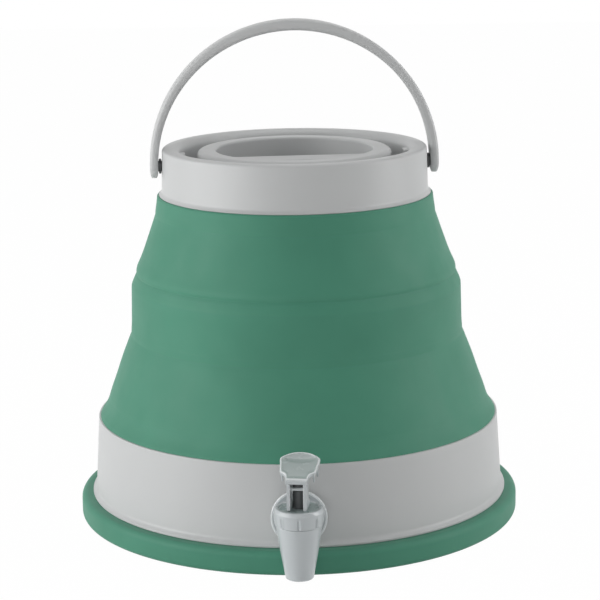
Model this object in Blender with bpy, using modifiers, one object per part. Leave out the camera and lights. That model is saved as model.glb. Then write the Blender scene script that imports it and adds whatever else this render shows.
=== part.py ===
"""Collapsible water carrier: a folding wall from pan to collar, a lid, a bail handle and a lever tap."""
import math

import bmesh
import bpy
from mathutils import Matrix, Vector

# All lengths are in metres. The tap faces -Y, and the bail swings about X.

# Fits and facets
FIT = 0.0003
OVERRUN = 0.001
RING_STEPS = 44
SMALL_STEPS = 24
FILLET_STEPS = 2
MERGE_DISTANCE = 0.00001
SHARP_ANGLE = math.radians(35)

# Foot tray
TRAY_RADIUS = 0.160
TRAY_RIM_WIDTH = 0.010
TRAY_HEIGHT = 0.017
TRAY_FLOOR = 0.003
TRAY_ROUND = 0.0035

# Pan
PAN_WALL = 0.0025
PAN_FLOOR = 0.003
PAN_CORNER = 0.003
FOOT_LIP_REACH = 0.0016
FOOT_LIP_HEIGHT = 0.0022
FOOT_LIP_FILLET = 0.0025
BAND_HEIGHT = 0.058
BAND_SET_BACK = 0.001
BAND_TAPER = 0.0033
BAND_ROUND = 0.0008

# Folding wall, from the pan up to the collar; each run is how far a ring draws in over its height
WALL = 0.0025
TONGUE_DEPTH = 0.008
TONGUE_GAP = 0.0018
SHOULDER_STEP = 0.0013
SHOULDER_HEIGHT = 0.0134
SHOULDER_RUN = 0.0072
LOWER_WEB_HEIGHT = 0.0496
LOWER_WEB_RUN = 0.0170
MID_BAND_HEIGHT = 0.046
MID_BAND_RUN = 0.0058
UPPER_WEB_HEIGHT = 0.038
UPPER_WEB_RUN = 0.0137
LIP_HEIGHT = 0.0116
LIP_RUN = 0.0014
LIP_ROUND = 0.0008

# Each pair is a share of the ring's height, then of the way from its top radius to its bottom radius
SHOULDER_SHARES = ((1, 0), (0.80, 0.14), (0.59, 0.29), (0.36, 0.53), (0.15, 0.82), (0, 1))
LOWER_WEB_SHARES = ((1, 0), (0.86, 0.08), (0.62, 0.36), (0.25, 0.74), (0, 1))
MID_BAND_SHARES = ((1, 0), (0.86, 0.30), (0.76, 0.58), (0.68, 0.80), (0.10, 0.94), (0, 1))
UPPER_WEB_SHARES = ((1, 0), (0.93, 0.05), (0.58, 0.37), (0, 1))

# Collar shell
COLLAR_HEIGHT = 0.0348
COLLAR_STEP = 0.0045
COLLAR_TAPER = 0.0008
COLLAR_FLARE = 0.0044
COLLAR_FLARE_HEIGHT = 0.0066
COLLAR_WALL = 0.0025
COLLAR_ROUND = 0.0032
RIM_WIDTH = 0.013
RIM_DROP = 0.0014
RIM_ROUND = 0.0008
RIM_LIP_WALL = 0.002
CHANNEL_DEPTH = 0.0144
LUG_WIDTH = 0.012
LUG_REACH = 0.0042
LUG_DROP = 0.002

# Neck ring
NECK_PLATE = 0.0025
NECK_WALL = 0.003
NECK_GAP = 0.0168
NECK_RISE = 0.008
NECK_DROP = 0.008
NECK_SKIRT = 0.013
THREAD_RADIUS = 0.0009
THREAD_PITCH = 0.0032
THREAD_TURNS = 1.25
THREAD_POINTS = 24

# Lid
LID_TURN = math.radians(5.8)
LID_OVERHANG = 0.0047
LID_SINK = 0.002
LID_WALL = 0.0022
LID_PLATE = 0.0024
LID_ROUND = 0.0013
WELL_INSET = 0.0088
WELL_DEPTH = 0.0284
WELL_CORNER = 0.003
GRIP_WIDTH = 0.021
GRIP_SINK = 0.0068
GASKET_WIDTH = 0.0064

# Bail and its pins
BAIL_TURN = math.radians(3.5)
PIVOT_DROP = 0.0129
BAIL_REACH = 0.0092
BAIL_WIDTH = 0.017
BAIL_END_THICKNESS = 0.0060
BAIL_TOP_THICKNESS = 0.0082
BAIL_ROUND = 0.0020
BAIL_STATIONS = 30
BAIL_END_STATIONS = 4
PIN_RADIUS = 0.0039
PIN_HEAD_RADIUS = 0.006
PIN_SOCKET_DEPTH = 0.0034
PIN_END_GAP = 0.0005
CLIP_RADIUS = 0.0074
CLIP_THICKNESS = 0.0014

# Tap in the pan's wall
TAP_LIFT = 0.0029
PAD_RADIUS = 0.017
PAD_PROUD = 0.0012
PAD_INSIDE = 0.0021
SHANK_RADIUS = 0.0095
SHANK_END = 0.0018
TAP_GASKET_RADIUS = 0.0155
TAP_GASKET_THICKNESS = 0.0015
FLANGE_RADIUS = 0.0191
FLANGE_THICKNESS = 0.0028
NUT_RADIUS = 0.0165
NUT_THICKNESS = 0.008
NUT_SIDES = 6

# Tap body, on its own upright axis
NOZZLE_GAP = 0.0012
NOZZLE_END_HEIGHT = 0.0041
NOZZLE_TAPER = 0.0037
NOZZLE_ROUND = 0.0012
NOZZLE_WALL = 0.0029
CONE_TAPER = 0.0023
CONE_STEP = 0.0022
CONE_WAIST_SHARE = 0.558
CHAMBER_RADIUS = 0.0113
BODY_NECK_WALL = 0.0019
BODY_NECK_GAP = 0.0005
INLET_DROP = 0.0036
INLET_RADIUS = 0.004
INLET_WALL = 0.0018

# Bonnet
BONNET_HEIGHT = 0.0117
BONNET_WALL = 0.0020
BONNET_SIDE = 0.0024
BONNET_SPREAD = 0.0011
BONNET_DRAW_IN = 0.0014
BONNET_CHAMFER = 0.0024
RIB_COUNT = 8
RIB_WIDTH = 0.0014
RIB_PROUD = 0.0005
RIB_HEIGHT = 0.0068

# Stem, cup and spring
STEM_RADIUS = 0.0041
STEM_RISE = 0.0176
STEM_ROUND = 0.0013
STEM_FOOT_RADIUS = 0.0036
STEM_FOOT_LENGTH = 0.008
COLLET_RADIUS = 0.0085
COLLET_THICKNESS = 0.0015
COLLET_DROP = 0.0087
CUP_RADIUS = 0.009
CUP_TOP_RADIUS = 0.0058
CUP_RIM = 0.0042
CUP_FLOOR = 0.0024
SPRING_RADIUS = 0.0064
SPRING_WIRE = 0.0005
SPRING_TURNS = 4
SPRING_POINTS = 10

# Lever, on the stem
LEVER_TURN = math.radians(-8)
BAR_RADIUS = 0.0011
BAR_RISE = 0.0131
BAR_REACH = 0.0032
CHEEK_THICKNESS = 0.00265
CHEEK_FRONT = 0.0073
CHEEK_BACK = 0.0112
CHEEK_TOE = 0.003
LIP_WIDTH = 0.0144
LIP_THICKNESS = 0.002
LIP_DEPTH = 0.0034
THUMB_PAD_LENGTH = 0.0284
THUMB_PAD_WIDTH = 0.0269
THUMB_PAD_THICKNESS = 0.0022
THUMB_PAD_SKIRT = 0.0075
THUMB_PAD_WALL = 0.0016
THUMB_PAD_RISE = 0.0087
THUMB_PAD_TILT = math.radians(24)
DISH_RADIUS = 0.0105
DISH_DEPTH = 0.0011
DISH_PLACE_SHARE = 0.64

# Thumb pad's side: share of its length from the front, then share of its half width
THUMB_PAD_SHARES = (
    (0, 0.55), (0.10, 0.60), (0.19, 0.74), (0.25, 0.85), (0.38, 0.93), (0.55, 0.98),
    (0.73, 1), (0.82, 0.91), (0.89, 0.76), (0.95, 0.56), (0.98, 0.36), (1, 0.12),
)

# Heights that stack up from the floor
PAN_BOTTOM = TRAY_FLOOR + FIT
PAN_INSIDE = PAN_BOTTOM + PAN_FLOOR
FOOT_LIP_BOTTOM = TRAY_HEIGHT + FIT
BAND_TOP = TRAY_HEIGHT + BAND_HEIGHT
SHOULDER_TOP = BAND_TOP + SHOULDER_HEIGHT
MID_BAND_BOTTOM = SHOULDER_TOP + LOWER_WEB_HEIGHT
MID_BAND_TOP = MID_BAND_BOTTOM + MID_BAND_HEIGHT
LIP_BOTTOM = MID_BAND_TOP + UPPER_WEB_HEIGHT
COLLAR_BOTTOM = LIP_BOTTOM + LIP_HEIGHT
COLLAR_TOP = COLLAR_BOTTOM + COLLAR_HEIGHT
CHANNEL_FLOOR = COLLAR_TOP - CHANNEL_DEPTH
NECK_TOP = CHANNEL_FLOOR + NECK_RISE
LID_TOP = COLLAR_TOP - LID_SINK
PIVOT_HEIGHT = COLLAR_TOP - PIVOT_DROP
TONGUE_TOP = PIVOT_HEIGHT - CLIP_RADIUS - TONGUE_GAP

# Radii, each drawn in from the one below it
PAN_SEAT_RADIUS = TRAY_RADIUS - TRAY_RIM_WIDTH
FOOT_LIP_RADIUS = PAN_SEAT_RADIUS + FOOT_LIP_REACH
BAND_FOOT_RADIUS = PAN_SEAT_RADIUS - BAND_SET_BACK
BAND_TOP_RADIUS = BAND_FOOT_RADIUS - BAND_TAPER
SHOULDER_RADIUS = BAND_TOP_RADIUS - SHOULDER_STEP
SHOULDER_TOP_RADIUS = SHOULDER_RADIUS - SHOULDER_RUN
MID_BAND_RADIUS = SHOULDER_TOP_RADIUS - LOWER_WEB_RUN
MID_BAND_TOP_RADIUS = MID_BAND_RADIUS - MID_BAND_RUN
LIP_RADIUS = MID_BAND_TOP_RADIUS - UPPER_WEB_RUN
LIP_TOP_RADIUS = LIP_RADIUS - LIP_RUN
COLLAR_RADIUS = LIP_TOP_RADIUS - COLLAR_STEP
COLLAR_INSIDE = COLLAR_RADIUS - COLLAR_WALL
COLLAR_FOOT_RADIUS = COLLAR_RADIUS + COLLAR_TAPER
COLLAR_FLARE_RADIUS = COLLAR_RADIUS + COLLAR_FLARE
RIM_INSIDE = COLLAR_RADIUS - RIM_WIDTH
TONGUE_RADIUS = COLLAR_INSIDE - FIT
NECK_SKIRT_RADIUS = TONGUE_RADIUS - WALL - FIT
NECK_RADIUS = RIM_INSIDE - NECK_GAP
LID_RADIUS = NECK_RADIUS + LID_OVERHANG
WELL_RADIUS = NECK_RADIUS - WELL_INSET
BAIL_RADIUS = COLLAR_RADIUS + BAIL_REACH

# Tap radii, from the valve chamber out
BODY_NECK_RADIUS = CHAMBER_RADIUS + BODY_NECK_WALL
CONE_TOP_RADIUS = BODY_NECK_RADIUS + CONE_STEP
CONE_WAIST_RADIUS = CONE_TOP_RADIUS - CONE_TAPER
NOZZLE_END_RADIUS = CONE_WAIST_RADIUS - NOZZLE_TAPER
NOZZLE_BORE = NOZZLE_END_RADIUS - NOZZLE_WALL
BONNET_INSIDE = BODY_NECK_RADIUS + FIT
BONNET_FOOT_RADIUS = BONNET_INSIDE + BONNET_SIDE
BONNET_RADIUS = BONNET_FOOT_RADIUS + BONNET_SPREAD
BONNET_DISC_RADIUS = BONNET_RADIUS - BONNET_DRAW_IN
INLET_OUTER_RADIUS = INLET_RADIUS + INLET_WALL

# Heights in the tap
TAP_HEIGHT = TRAY_HEIGHT + TAP_LIFT + FLANGE_RADIUS
INLET_HEIGHT = TAP_HEIGHT - INLET_DROP
CONE_TOP = INLET_HEIGHT + INLET_OUTER_RADIUS
CONE_WAIST = NOZZLE_END_HEIGHT + CONE_WAIST_SHARE * (CONE_TOP - NOZZLE_END_HEIGHT)
BONNET_BOTTOM = CONE_TOP + FIT
BONNET_TOP = BONNET_BOTTOM + BONNET_HEIGHT
BONNET_CEILING = BONNET_TOP - BONNET_WALL
BODY_NECK_TOP = BONNET_CEILING - BODY_NECK_GAP
STEM_TOP = BONNET_TOP + STEM_RISE
COLLET_TOP = BONNET_CEILING - COLLET_DROP
COLLET_BOTTOM = COLLET_TOP - COLLET_THICKNESS
STEM_BOTTOM = COLLET_BOTTOM - STEM_FOOT_LENGTH
CUP_TOP = COLLET_BOTTOM - FIT
CUP_BOTTOM = STEM_BOTTOM - FIT - CUP_FLOOR
TAP_SEAT = CUP_BOTTOM - FIT
BAR_HEIGHT = BONNET_TOP + BAR_RISE

# Places along the shank, as distances in front of the vessel's axis
BAND_SLOPE = BAND_TAPER / BAND_HEIGHT
BAND_AT_TAP = BAND_FOOT_RADIUS - BAND_SLOPE * (TAP_HEIGHT - TRAY_HEIGHT)
PAD_FACE = BAND_AT_TAP + PAD_PROUD
PAD_BACK = BAND_AT_TAP - PAN_WALL - PAD_INSIDE
FLANGE_BACK = PAD_FACE + TAP_GASKET_THICKNESS + 2 * FIT
FLANGE_FACE = FLANGE_BACK + FLANGE_THICKNESS
NUT_FACE = PAD_BACK - TAP_GASKET_THICKNESS - 2 * FIT
NUT_BACK = NUT_FACE - NUT_THICKNESS
SHANK_INNER_END = NUT_BACK - SHANK_END

# The nozzle hangs just in front of the tray, and the bonnet just in front of the flange
TRAY_LEVEL_SHARE = (TRAY_HEIGHT - NOZZLE_END_HEIGHT) / (CONE_WAIST - NOZZLE_END_HEIGHT)
NOZZLE_AT_TRAY = NOZZLE_END_RADIUS + NOZZLE_TAPER * TRAY_LEVEL_SHARE
TAP_REACH = max(TRAY_RADIUS + NOZZLE_GAP + NOZZLE_AT_TRAY, FLANGE_FACE + NOZZLE_GAP + BONNET_RADIUS)

# Looks: base colour, roughness and metallic
GREEN_RUBBER = ((0.075, 0.240, 0.165), 0.62, 0)
GREY_PLASTIC = ((0.560, 0.575, 0.575), 0.42, 0)
CLEAR_PLASTIC = ((0.480, 0.530, 0.530), 0.30, 0)
DARK_PLASTIC = ((0.045, 0.050, 0.050), 0.50, 0)
SILICONE = ((0.700, 0.710, 0.690), 0.55, 0)
STEEL = ((0.620, 0.620, 0.610), 0.28, 1)

# A drum's direction along each axis, and the turn that lays it there
DRUM_TURNS = {
    "X": (Vector((1, 0, 0)), Matrix.Rotation(math.pi / 2, 4, "Y")),
    "Y": (Vector((0, 1, 0)), Matrix.Rotation(-math.pi / 2, 4, "X")),
    "Z": (Vector((0, 0, 1)), Matrix()),
}

PARTS_NAME = "collapsible_water_carrier"
CUTTERS_NAME = "cutters"


def start_scene():
    """Remove what is in the scene and make the two collections."""
    for thing in list(bpy.data.objects):
        bpy.data.objects.remove(thing, do_unlink=True)
    for name in (PARTS_NAME, CUTTERS_NAME):
        group = bpy.data.collections.new(name)
        bpy.context.scene.collection.children.link(group)
    return bpy.data.collections[PARTS_NAME], bpy.data.collections[CUTTERS_NAME]


PARTS, CUTTERS = start_scene()


def add_empty(name, location, turn=0):
    """Mark an axis that pieces are parented to."""
    marker = bpy.data.objects.new(name, None)
    marker.location = location
    marker.rotation_euler = (0, 0, turn)
    PARTS.objects.link(marker)
    return marker


def add_piece(name, mesh, look, parent=None):
    """Put a mesh in the scene as a named piece with its own material."""
    piece = bpy.data.objects.new(name, mesh)
    colour, roughness, metallic = look
    finish = bpy.data.materials.new(name + "_finish")
    finish.use_nodes = True
    shader = finish.node_tree.nodes["Principled BSDF"]
    shader.inputs["Base Color"].default_value = (*colour, 1)
    shader.inputs["Roughness"].default_value = roughness
    shader.inputs["Metallic"].default_value = metallic
    piece.data.materials.append(finish)
    piece.parent = parent
    PARTS.objects.link(piece)
    return piece


def add_cutter(name, mesh, parent=None):
    """Put a mesh in the scene as a guide that cuts or joins another piece."""
    cutter = bpy.data.objects.new(name, mesh)
    cutter.hide_render = True
    cutter.display_type = "WIRE"
    cutter.parent = parent
    CUTTERS.objects.link(cutter)
    return cutter


def combine(piece, guide, operation):
    """Cut a piece by a guide, or join the guide to it."""
    step = piece.modifiers.new(guide.name, "BOOLEAN")
    step.operation = operation
    step.object = guide
    step.solver = "EXACT"


def shade(mesh):
    """Shade a mesh smooth and keep its corners sharp."""
    mesh.shade_smooth()
    mesh.set_sharp_from_angle(angle=SHARP_ANGLE)


def rounded(corners, closed=True):
    """Turn corners, each an x, a z and a fillet radius, into outline points."""
    points = []
    for index, (x, z, fillet) in enumerate(corners):
        here = Vector((x, z))
        is_end = not closed and index in (0, len(corners) - 1)
        if fillet == 0 or is_end:
            points.append(here)
            continue
        before = Vector(corners[index - 1][:2])
        after = Vector(corners[(index + 1) % len(corners)][:2])
        to_before = (before - here).normalized()
        to_after = (after - here).normalized()
        half = to_before.angle(to_after) / 2
        reach = min(fillet / math.tan(half), (before - here).length / 2, (after - here).length / 2)
        radius = reach * math.tan(half)
        centre = here + (to_before + to_after).normalized() * radius / math.sin(half)
        start = here + to_before * reach - centre
        end = here + to_after * reach - centre
        begin_angle = math.atan2(start.y, start.x)
        sweep = math.remainder(math.atan2(end.y, end.x) - begin_angle, math.tau)
        for step in range(FILLET_STEPS + 1):
            angle = begin_angle + sweep * step / FILLET_STEPS
            points.append(centre + Vector((math.cos(angle), math.sin(angle))) * radius)
    return points


def outline_mesh(name, points, closed):
    """Make a mesh of edges through points in the XZ plane."""
    mesh = bpy.data.meshes.new(name)
    edges = [(index, index + 1) for index in range(len(points) - 1)]
    if closed:
        edges.append((len(points) - 1, 0))
    mesh.from_pydata([(x, 0, z) for x, z in points], edges, [])
    return mesh


def spin(piece, steps):
    """Turn an outline round Z into a solid."""
    turn = piece.modifiers.new("turned", "SCREW")
    turn.axis = "Z"
    turn.steps = steps
    turn.render_steps = steps
    turn.use_merge_vertices = True
    turn.merge_threshold = MERGE_DISTANCE
    turn.use_smooth_shade = True


def turned(name, corners, look, closed=True, steps=RING_STEPS, parent=None):
    """Make a turned piece whose outline runs down its outer side."""
    mesh = outline_mesh(name, rounded(corners, closed), closed)
    piece = add_piece(name, mesh, look, parent)
    spin(piece, steps)
    return piece


def drum_mesh(name, radius, start, end, axis, steps=SMALL_STEPS, end_radius=None):
    """Make a cylinder or cone between two places along an axis."""
    far_radius = radius if end_radius is None else end_radius
    shape = bmesh.new()
    bmesh.ops.create_cone(
        shape, cap_ends=True, segments=steps, radius1=radius, radius2=far_radius, depth=abs(end - start)
    )
    if end < start:
        bmesh.ops.transform(shape, matrix=Matrix.Rotation(math.pi, 4, "X"), verts=shape.verts)
    direction, turn = DRUM_TURNS[axis]
    place = Matrix.Translation(direction * (start + end) / 2) @ turn
    bmesh.ops.transform(shape, matrix=place, verts=shape.verts)
    return finished(name, shape)


def box_mesh(name, low, high):
    """Make a box between two corners."""
    shape = bmesh.new()
    bmesh.ops.create_cube(shape, size=1)
    size = [top - bottom for bottom, top in zip(low, high)]
    middle = [(top + bottom) / 2 for bottom, top in zip(low, high)]
    place = Matrix.Translation(middle) @ Matrix.Diagonal((*size, 1))
    bmesh.ops.transform(shape, matrix=place, verts=shape.verts)
    return finished(name, shape)


def finished(name, shape):
    """Turn a bmesh into a mesh with its faces pointing out."""
    bmesh.ops.recalc_face_normals(shape, faces=shape.faces)
    mesh = bpy.data.meshes.new(name)
    shape.to_mesh(mesh)
    shape.free()
    shade(mesh)
    return mesh


def plate_mesh(name, outline, thickness):
    """Make a flat plate from an outline in XY, centred on z = 0."""
    curve = bpy.data.curves.new(name + "_outline", "CURVE")
    curve.dimensions = "2D"
    curve.fill_mode = "BOTH"
    curve.extrude = thickness / 2
    line = curve.splines.new("POLY")
    line.points.add(len(outline) - 1)
    for point, (x, y) in zip(line.points, outline):
        point.co = (x, y, 0, 1)
    line.use_cyclic_u = True
    holder = bpy.data.objects.new(name + "_outline", curve)
    CUTTERS.objects.link(holder)
    return mesh_of(holder, name)


def mesh_of(holder, name):
    """Turn a curve object into a welded mesh and remove the curve."""
    evaluated = holder.evaluated_get(bpy.context.evaluated_depsgraph_get())
    mesh = bpy.data.meshes.new_from_object(evaluated)
    mesh.name = name
    shape = bmesh.new()
    shape.from_mesh(mesh)
    bmesh.ops.remove_doubles(shape, verts=shape.verts, dist=MERGE_DISTANCE)
    bmesh.ops.recalc_face_normals(shape, faces=shape.faces)
    shape.to_mesh(mesh)
    shape.free()
    bpy.data.objects.remove(holder, do_unlink=True)
    return mesh


def ramp(shares, bottom, height, low_radius, high_radius):
    """Place a ring's outer points from its shares, top to bottom."""
    return [
        (high_radius + (low_radius - high_radius) * way, bottom + height * rise, 0) for rise, way in shares
    ]


def inner_side(outer, thickness):
    """Return a ring's inner points, bottom to top, one thickness inside its outer points."""
    return [(x - thickness, z, 0) for x, z, _ in reversed(outer)]


def make_tray():
    """Foot tray that the pan stands in."""
    seat = PAN_SEAT_RADIUS + FIT
    turned("foot_tray", [
        (0, TRAY_FLOOR, 0),
        (seat, TRAY_FLOOR, 0),
        (seat, TRAY_HEIGHT, 0),
        (TRAY_RADIUS, TRAY_HEIGHT, TRAY_ROUND),
        (TRAY_RADIUS, 0, TRAY_ROUND),
        (0, 0, 0),
    ], GREEN_RUBBER, closed=False)


def make_pan():
    """Pan with the visible lower band, a flat pad round the tap and the tap's hole."""
    pan = turned("lower_pan", [
        (0, PAN_INSIDE, 0),
        (BAND_FOOT_RADIUS - PAN_WALL, PAN_INSIDE, PAN_CORNER),
        (BAND_TOP_RADIUS - PAN_WALL, BAND_TOP, 0),
        (BAND_TOP_RADIUS, BAND_TOP, BAND_ROUND),
        (BAND_FOOT_RADIUS, FOOT_LIP_BOTTOM + FOOT_LIP_HEIGHT, FOOT_LIP_FILLET),
        (FOOT_LIP_RADIUS, FOOT_LIP_BOTTOM + FOOT_LIP_HEIGHT / 2, 0),
        (FOOT_LIP_RADIUS, FOOT_LIP_BOTTOM, 0),
        (PAN_SEAT_RADIUS, FOOT_LIP_BOTTOM, 0),
        (PAN_SEAT_RADIUS, PAN_BOTTOM, PAN_CORNER),
        (0, PAN_BOTTOM, 0),
    ], GREY_PLASTIC, closed=False)
    shank_line = add_empty("shank_line", (0, 0, TAP_HEIGHT))
    pad = add_cutter("tap_pad", drum_mesh("tap_pad", PAD_RADIUS, -PAD_FACE, -PAD_BACK, "Y"), shank_line)
    combine(pan, pad, "UNION")
    hole_mesh = drum_mesh("tap_hole", SHANK_RADIUS + FIT, -PAD_FACE - OVERRUN, -PAD_BACK + OVERRUN, "Y")
    combine(pan, add_cutter("tap_hole", hole_mesh, shank_line), "DIFFERENCE")
    return shank_line


def make_wall():
    """Folding wall as its shoulder, lower web, middle band, upper web and lip."""
    shoulder = ramp(
        SHOULDER_SHARES, BAND_TOP + FIT, SHOULDER_HEIGHT - FIT, SHOULDER_RADIUS, SHOULDER_TOP_RADIUS
    )
    tongue = BAND_TOP_RADIUS - PAN_WALL - FIT
    turned("wall_shoulder", shoulder + [
        (tongue, BAND_TOP + FIT, 0),
        (tongue, BAND_TOP - TONGUE_DEPTH, 0),
        (tongue - WALL, BAND_TOP - TONGUE_DEPTH, 0),
    ] + inner_side(shoulder, WALL)[1:], GREEN_RUBBER)
    lower_web = ramp(
        LOWER_WEB_SHARES, SHOULDER_TOP + FIT, LOWER_WEB_HEIGHT - 2 * FIT,
        SHOULDER_TOP_RADIUS, MID_BAND_RADIUS,
    )
    turned("wall_lower_web", lower_web + inner_side(lower_web, WALL), GREEN_RUBBER)
    mid_band = ramp(
        MID_BAND_SHARES, MID_BAND_BOTTOM, MID_BAND_HEIGHT, MID_BAND_RADIUS, MID_BAND_TOP_RADIUS
    )
    turned("wall_mid_band", mid_band + inner_side(mid_band, WALL), GREEN_RUBBER)
    upper_web = ramp(
        UPPER_WEB_SHARES, MID_BAND_TOP + FIT, UPPER_WEB_HEIGHT - 2 * FIT, MID_BAND_TOP_RADIUS, LIP_RADIUS
    )
    turned("wall_upper_web", upper_web + inner_side(upper_web, WALL), GREEN_RUBBER)
    lip_top = COLLAR_BOTTOM - FIT
    turned("wall_lip", [
        (TONGUE_RADIUS, TONGUE_TOP, 0),
        (TONGUE_RADIUS, lip_top, 0),
        (LIP_TOP_RADIUS, lip_top, LIP_ROUND),
        (LIP_RADIUS, LIP_BOTTOM, 0),
        (LIP_RADIUS - WALL, LIP_BOTTOM, 0),
        (LIP_TOP_RADIUS - WALL, lip_top - WALL, 0),
        (TONGUE_RADIUS - WALL, lip_top - WALL, 0),
        (TONGUE_RADIUS - WALL, TONGUE_TOP, 0),
    ], GREEN_RUBBER)


def make_collar(bail_pivot):
    """Collar shell with its turned-in rim, two lugs and the pins' holes."""
    flare_top = COLLAR_BOTTOM + COLLAR_FLARE_HEIGHT
    shell = turned("collar_shell", [
        (RIM_INSIDE, COLLAR_TOP - RIM_DROP, RIM_ROUND),
        (RIM_INSIDE + RIM_WIDTH / 2, COLLAR_TOP, 0),
        (COLLAR_RADIUS, COLLAR_TOP, COLLAR_ROUND),
        (COLLAR_FOOT_RADIUS, flare_top, 0),
        ((COLLAR_FOOT_RADIUS + COLLAR_FLARE_RADIUS) / 2, COLLAR_BOTTOM + COLLAR_FLARE_HEIGHT / 3, 0),
        (COLLAR_FLARE_RADIUS, COLLAR_BOTTOM, 0),
        (COLLAR_FLARE_RADIUS - COLLAR_WALL, COLLAR_BOTTOM, 0),
        (COLLAR_INSIDE, flare_top, 0),
        (COLLAR_INSIDE, COLLAR_TOP - COLLAR_WALL, 0),
        (RIM_INSIDE + RIM_LIP_WALL, COLLAR_TOP - COLLAR_WALL - RIM_DROP, 0),
        (RIM_INSIDE + RIM_LIP_WALL, CHANNEL_FLOOR + FIT, 0),
        (RIM_INSIDE, CHANNEL_FLOOR + FIT, 0),
    ], GREY_PLASTIC)
    lug_bottom = CHANNEL_FLOOR + 2 * FIT - PIVOT_HEIGHT
    lug_top = PIVOT_DROP - RIM_DROP - LUG_DROP
    for side in (-1, 1):
        ends = sorted((side * (RIM_INSIDE - LUG_REACH), side * (RIM_INSIDE + RIM_LIP_WALL / 2)))
        lug = box_mesh("rim_lug", (ends[0], -LUG_WIDTH / 2, lug_bottom), (ends[1], LUG_WIDTH / 2, lug_top))
        combine(shell, add_cutter("rim_lug", lug, bail_pivot), "UNION")
        start = side * (COLLAR_INSIDE - OVERRUN)
        hole = drum_mesh("pin_hole", PIN_RADIUS + FIT, start, side * (COLLAR_FOOT_RADIUS + OVERRUN), "X")
        combine(shell, add_cutter("pin_hole", hole, bail_pivot), "DIFFERENCE")


def make_neck():
    """Neck ring with the channel's floor, the threaded neck and the skirt that clamps the wall."""
    plate_bottom = CHANNEL_FLOOR - NECK_PLATE
    ring = turned("neck_ring", [
        (NECK_RADIUS, NECK_TOP, 0),
        (NECK_RADIUS, CHANNEL_FLOOR, 0),
        (NECK_SKIRT_RADIUS, CHANNEL_FLOOR, 0),
        (NECK_SKIRT_RADIUS, CHANNEL_FLOOR - NECK_SKIRT, 0),
        (NECK_SKIRT_RADIUS - COLLAR_WALL, CHANNEL_FLOOR - NECK_SKIRT, 0),
        (NECK_SKIRT_RADIUS - COLLAR_WALL, plate_bottom, 0),
        (NECK_RADIUS, plate_bottom, 0),
        (NECK_RADIUS, CHANNEL_FLOOR - NECK_DROP, 0),
        (NECK_RADIUS - NECK_WALL, CHANNEL_FLOOR - NECK_DROP, 0),
        (NECK_RADIUS - NECK_WALL, NECK_TOP, 0),
    ], GREY_PLASTIC)
    low = (CHANNEL_FLOOR + NECK_TOP - THREAD_PITCH * THREAD_TURNS) / 2
    ridge = coil_mesh(
        "neck_thread", NECK_RADIUS, THREAD_RADIUS, low, THREAD_PITCH, THREAD_TURNS, THREAD_POINTS
    )
    combine(ring, add_cutter("neck_thread", ridge), "UNION")


def coil_mesh(name, radius, wire, bottom, pitch, turns, points_per_turn):
    """Make a round wire along a helix about Z, with filled ends."""
    curve = bpy.data.curves.new(name + "_path", "CURVE")
    curve.dimensions = "3D"
    curve.bevel_depth = wire
    curve.bevel_resolution = 1
    curve.use_fill_caps = True
    line = curve.splines.new("POLY")
    count = round(turns * points_per_turn)
    line.points.add(count)
    for index, point in enumerate(line.points):
        angle = math.tau * turns * index / count
        height = bottom + pitch * turns * index / count
        point.co = (radius * math.cos(angle), radius * math.sin(angle), height, 1)
    holder = bpy.data.objects.new(name + "_path", curve)
    CUTTERS.objects.link(holder)
    return mesh_of(holder, name)


def make_lid():
    """Lid with its well and grip bar, and the gasket under it."""
    lid_axis = add_empty("lid_axis", (0, 0, 0), LID_TURN)
    plate_bottom = LID_TOP - LID_PLATE
    well_floor = LID_TOP - WELL_DEPTH
    well_outside = WELL_RADIUS + LID_WALL
    skirt_inside = LID_RADIUS - LID_WALL
    shell = turned("lid_shell", [
        (0, well_floor, 0),
        (WELL_RADIUS, well_floor, WELL_CORNER),
        (WELL_RADIUS, LID_TOP, LID_ROUND / 2),
        (LID_RADIUS, LID_TOP, LID_ROUND),
        (LID_RADIUS, CHANNEL_FLOOR + 2 * FIT, 0),
        (skirt_inside, CHANNEL_FLOOR + 2 * FIT, 0),
        (skirt_inside, plate_bottom, 0),
        (well_outside, plate_bottom, 0),
        (well_outside, well_floor - LID_WALL, WELL_CORNER),
        (0, well_floor - LID_WALL, 0),
    ], GREY_PLASTIC, closed=False, parent=lid_axis)
    grip_top = LID_TOP - GRIP_SINK
    half = GRIP_WIDTH / 2
    reach = WELL_RADIUS + LID_WALL / 2
    bar = box_mesh("grip_bar", (-reach, -half, well_floor - LID_WALL / 2), (reach, half, grip_top))
    grip = add_cutter("grip_bar", bar, lid_axis)
    well = drum_mesh("grip_bar_ends", reach, well_floor - LID_WALL, LID_TOP, "Z", RING_STEPS)
    combine(grip, add_cutter("grip_bar_ends", well, lid_axis), "INTERSECT")
    combine(shell, grip, "UNION")
    tunnel_half = half - LID_WALL
    tunnel_reach = math.sqrt(WELL_RADIUS ** 2 - half ** 2) - LID_WALL
    tunnel = box_mesh(
        "grip_tunnel",
        (-tunnel_reach, -tunnel_half, well_floor - LID_WALL - OVERRUN),
        (tunnel_reach, tunnel_half, grip_top - LID_WALL),
    )
    combine(shell, add_cutter("grip_tunnel", tunnel, lid_axis), "DIFFERENCE")
    gasket_outside = skirt_inside - THREAD_RADIUS
    turned("lid_gasket", [
        (gasket_outside, plate_bottom - FIT, 0),
        (gasket_outside, NECK_TOP + FIT, 0),
        (gasket_outside - GASKET_WIDTH, NECK_TOP + FIT, 0),
        (gasket_outside - GASKET_WIDTH, plate_bottom - FIT, 0),
    ], SILICONE, parent=lid_axis)


def bail_thickness(angle):
    """Return the strap's thickness, which grows from the pivots to the top."""
    return BAIL_END_THICKNESS + (BAIL_TOP_THICKNESS - BAIL_END_THICKNESS) * math.sin(angle)


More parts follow.
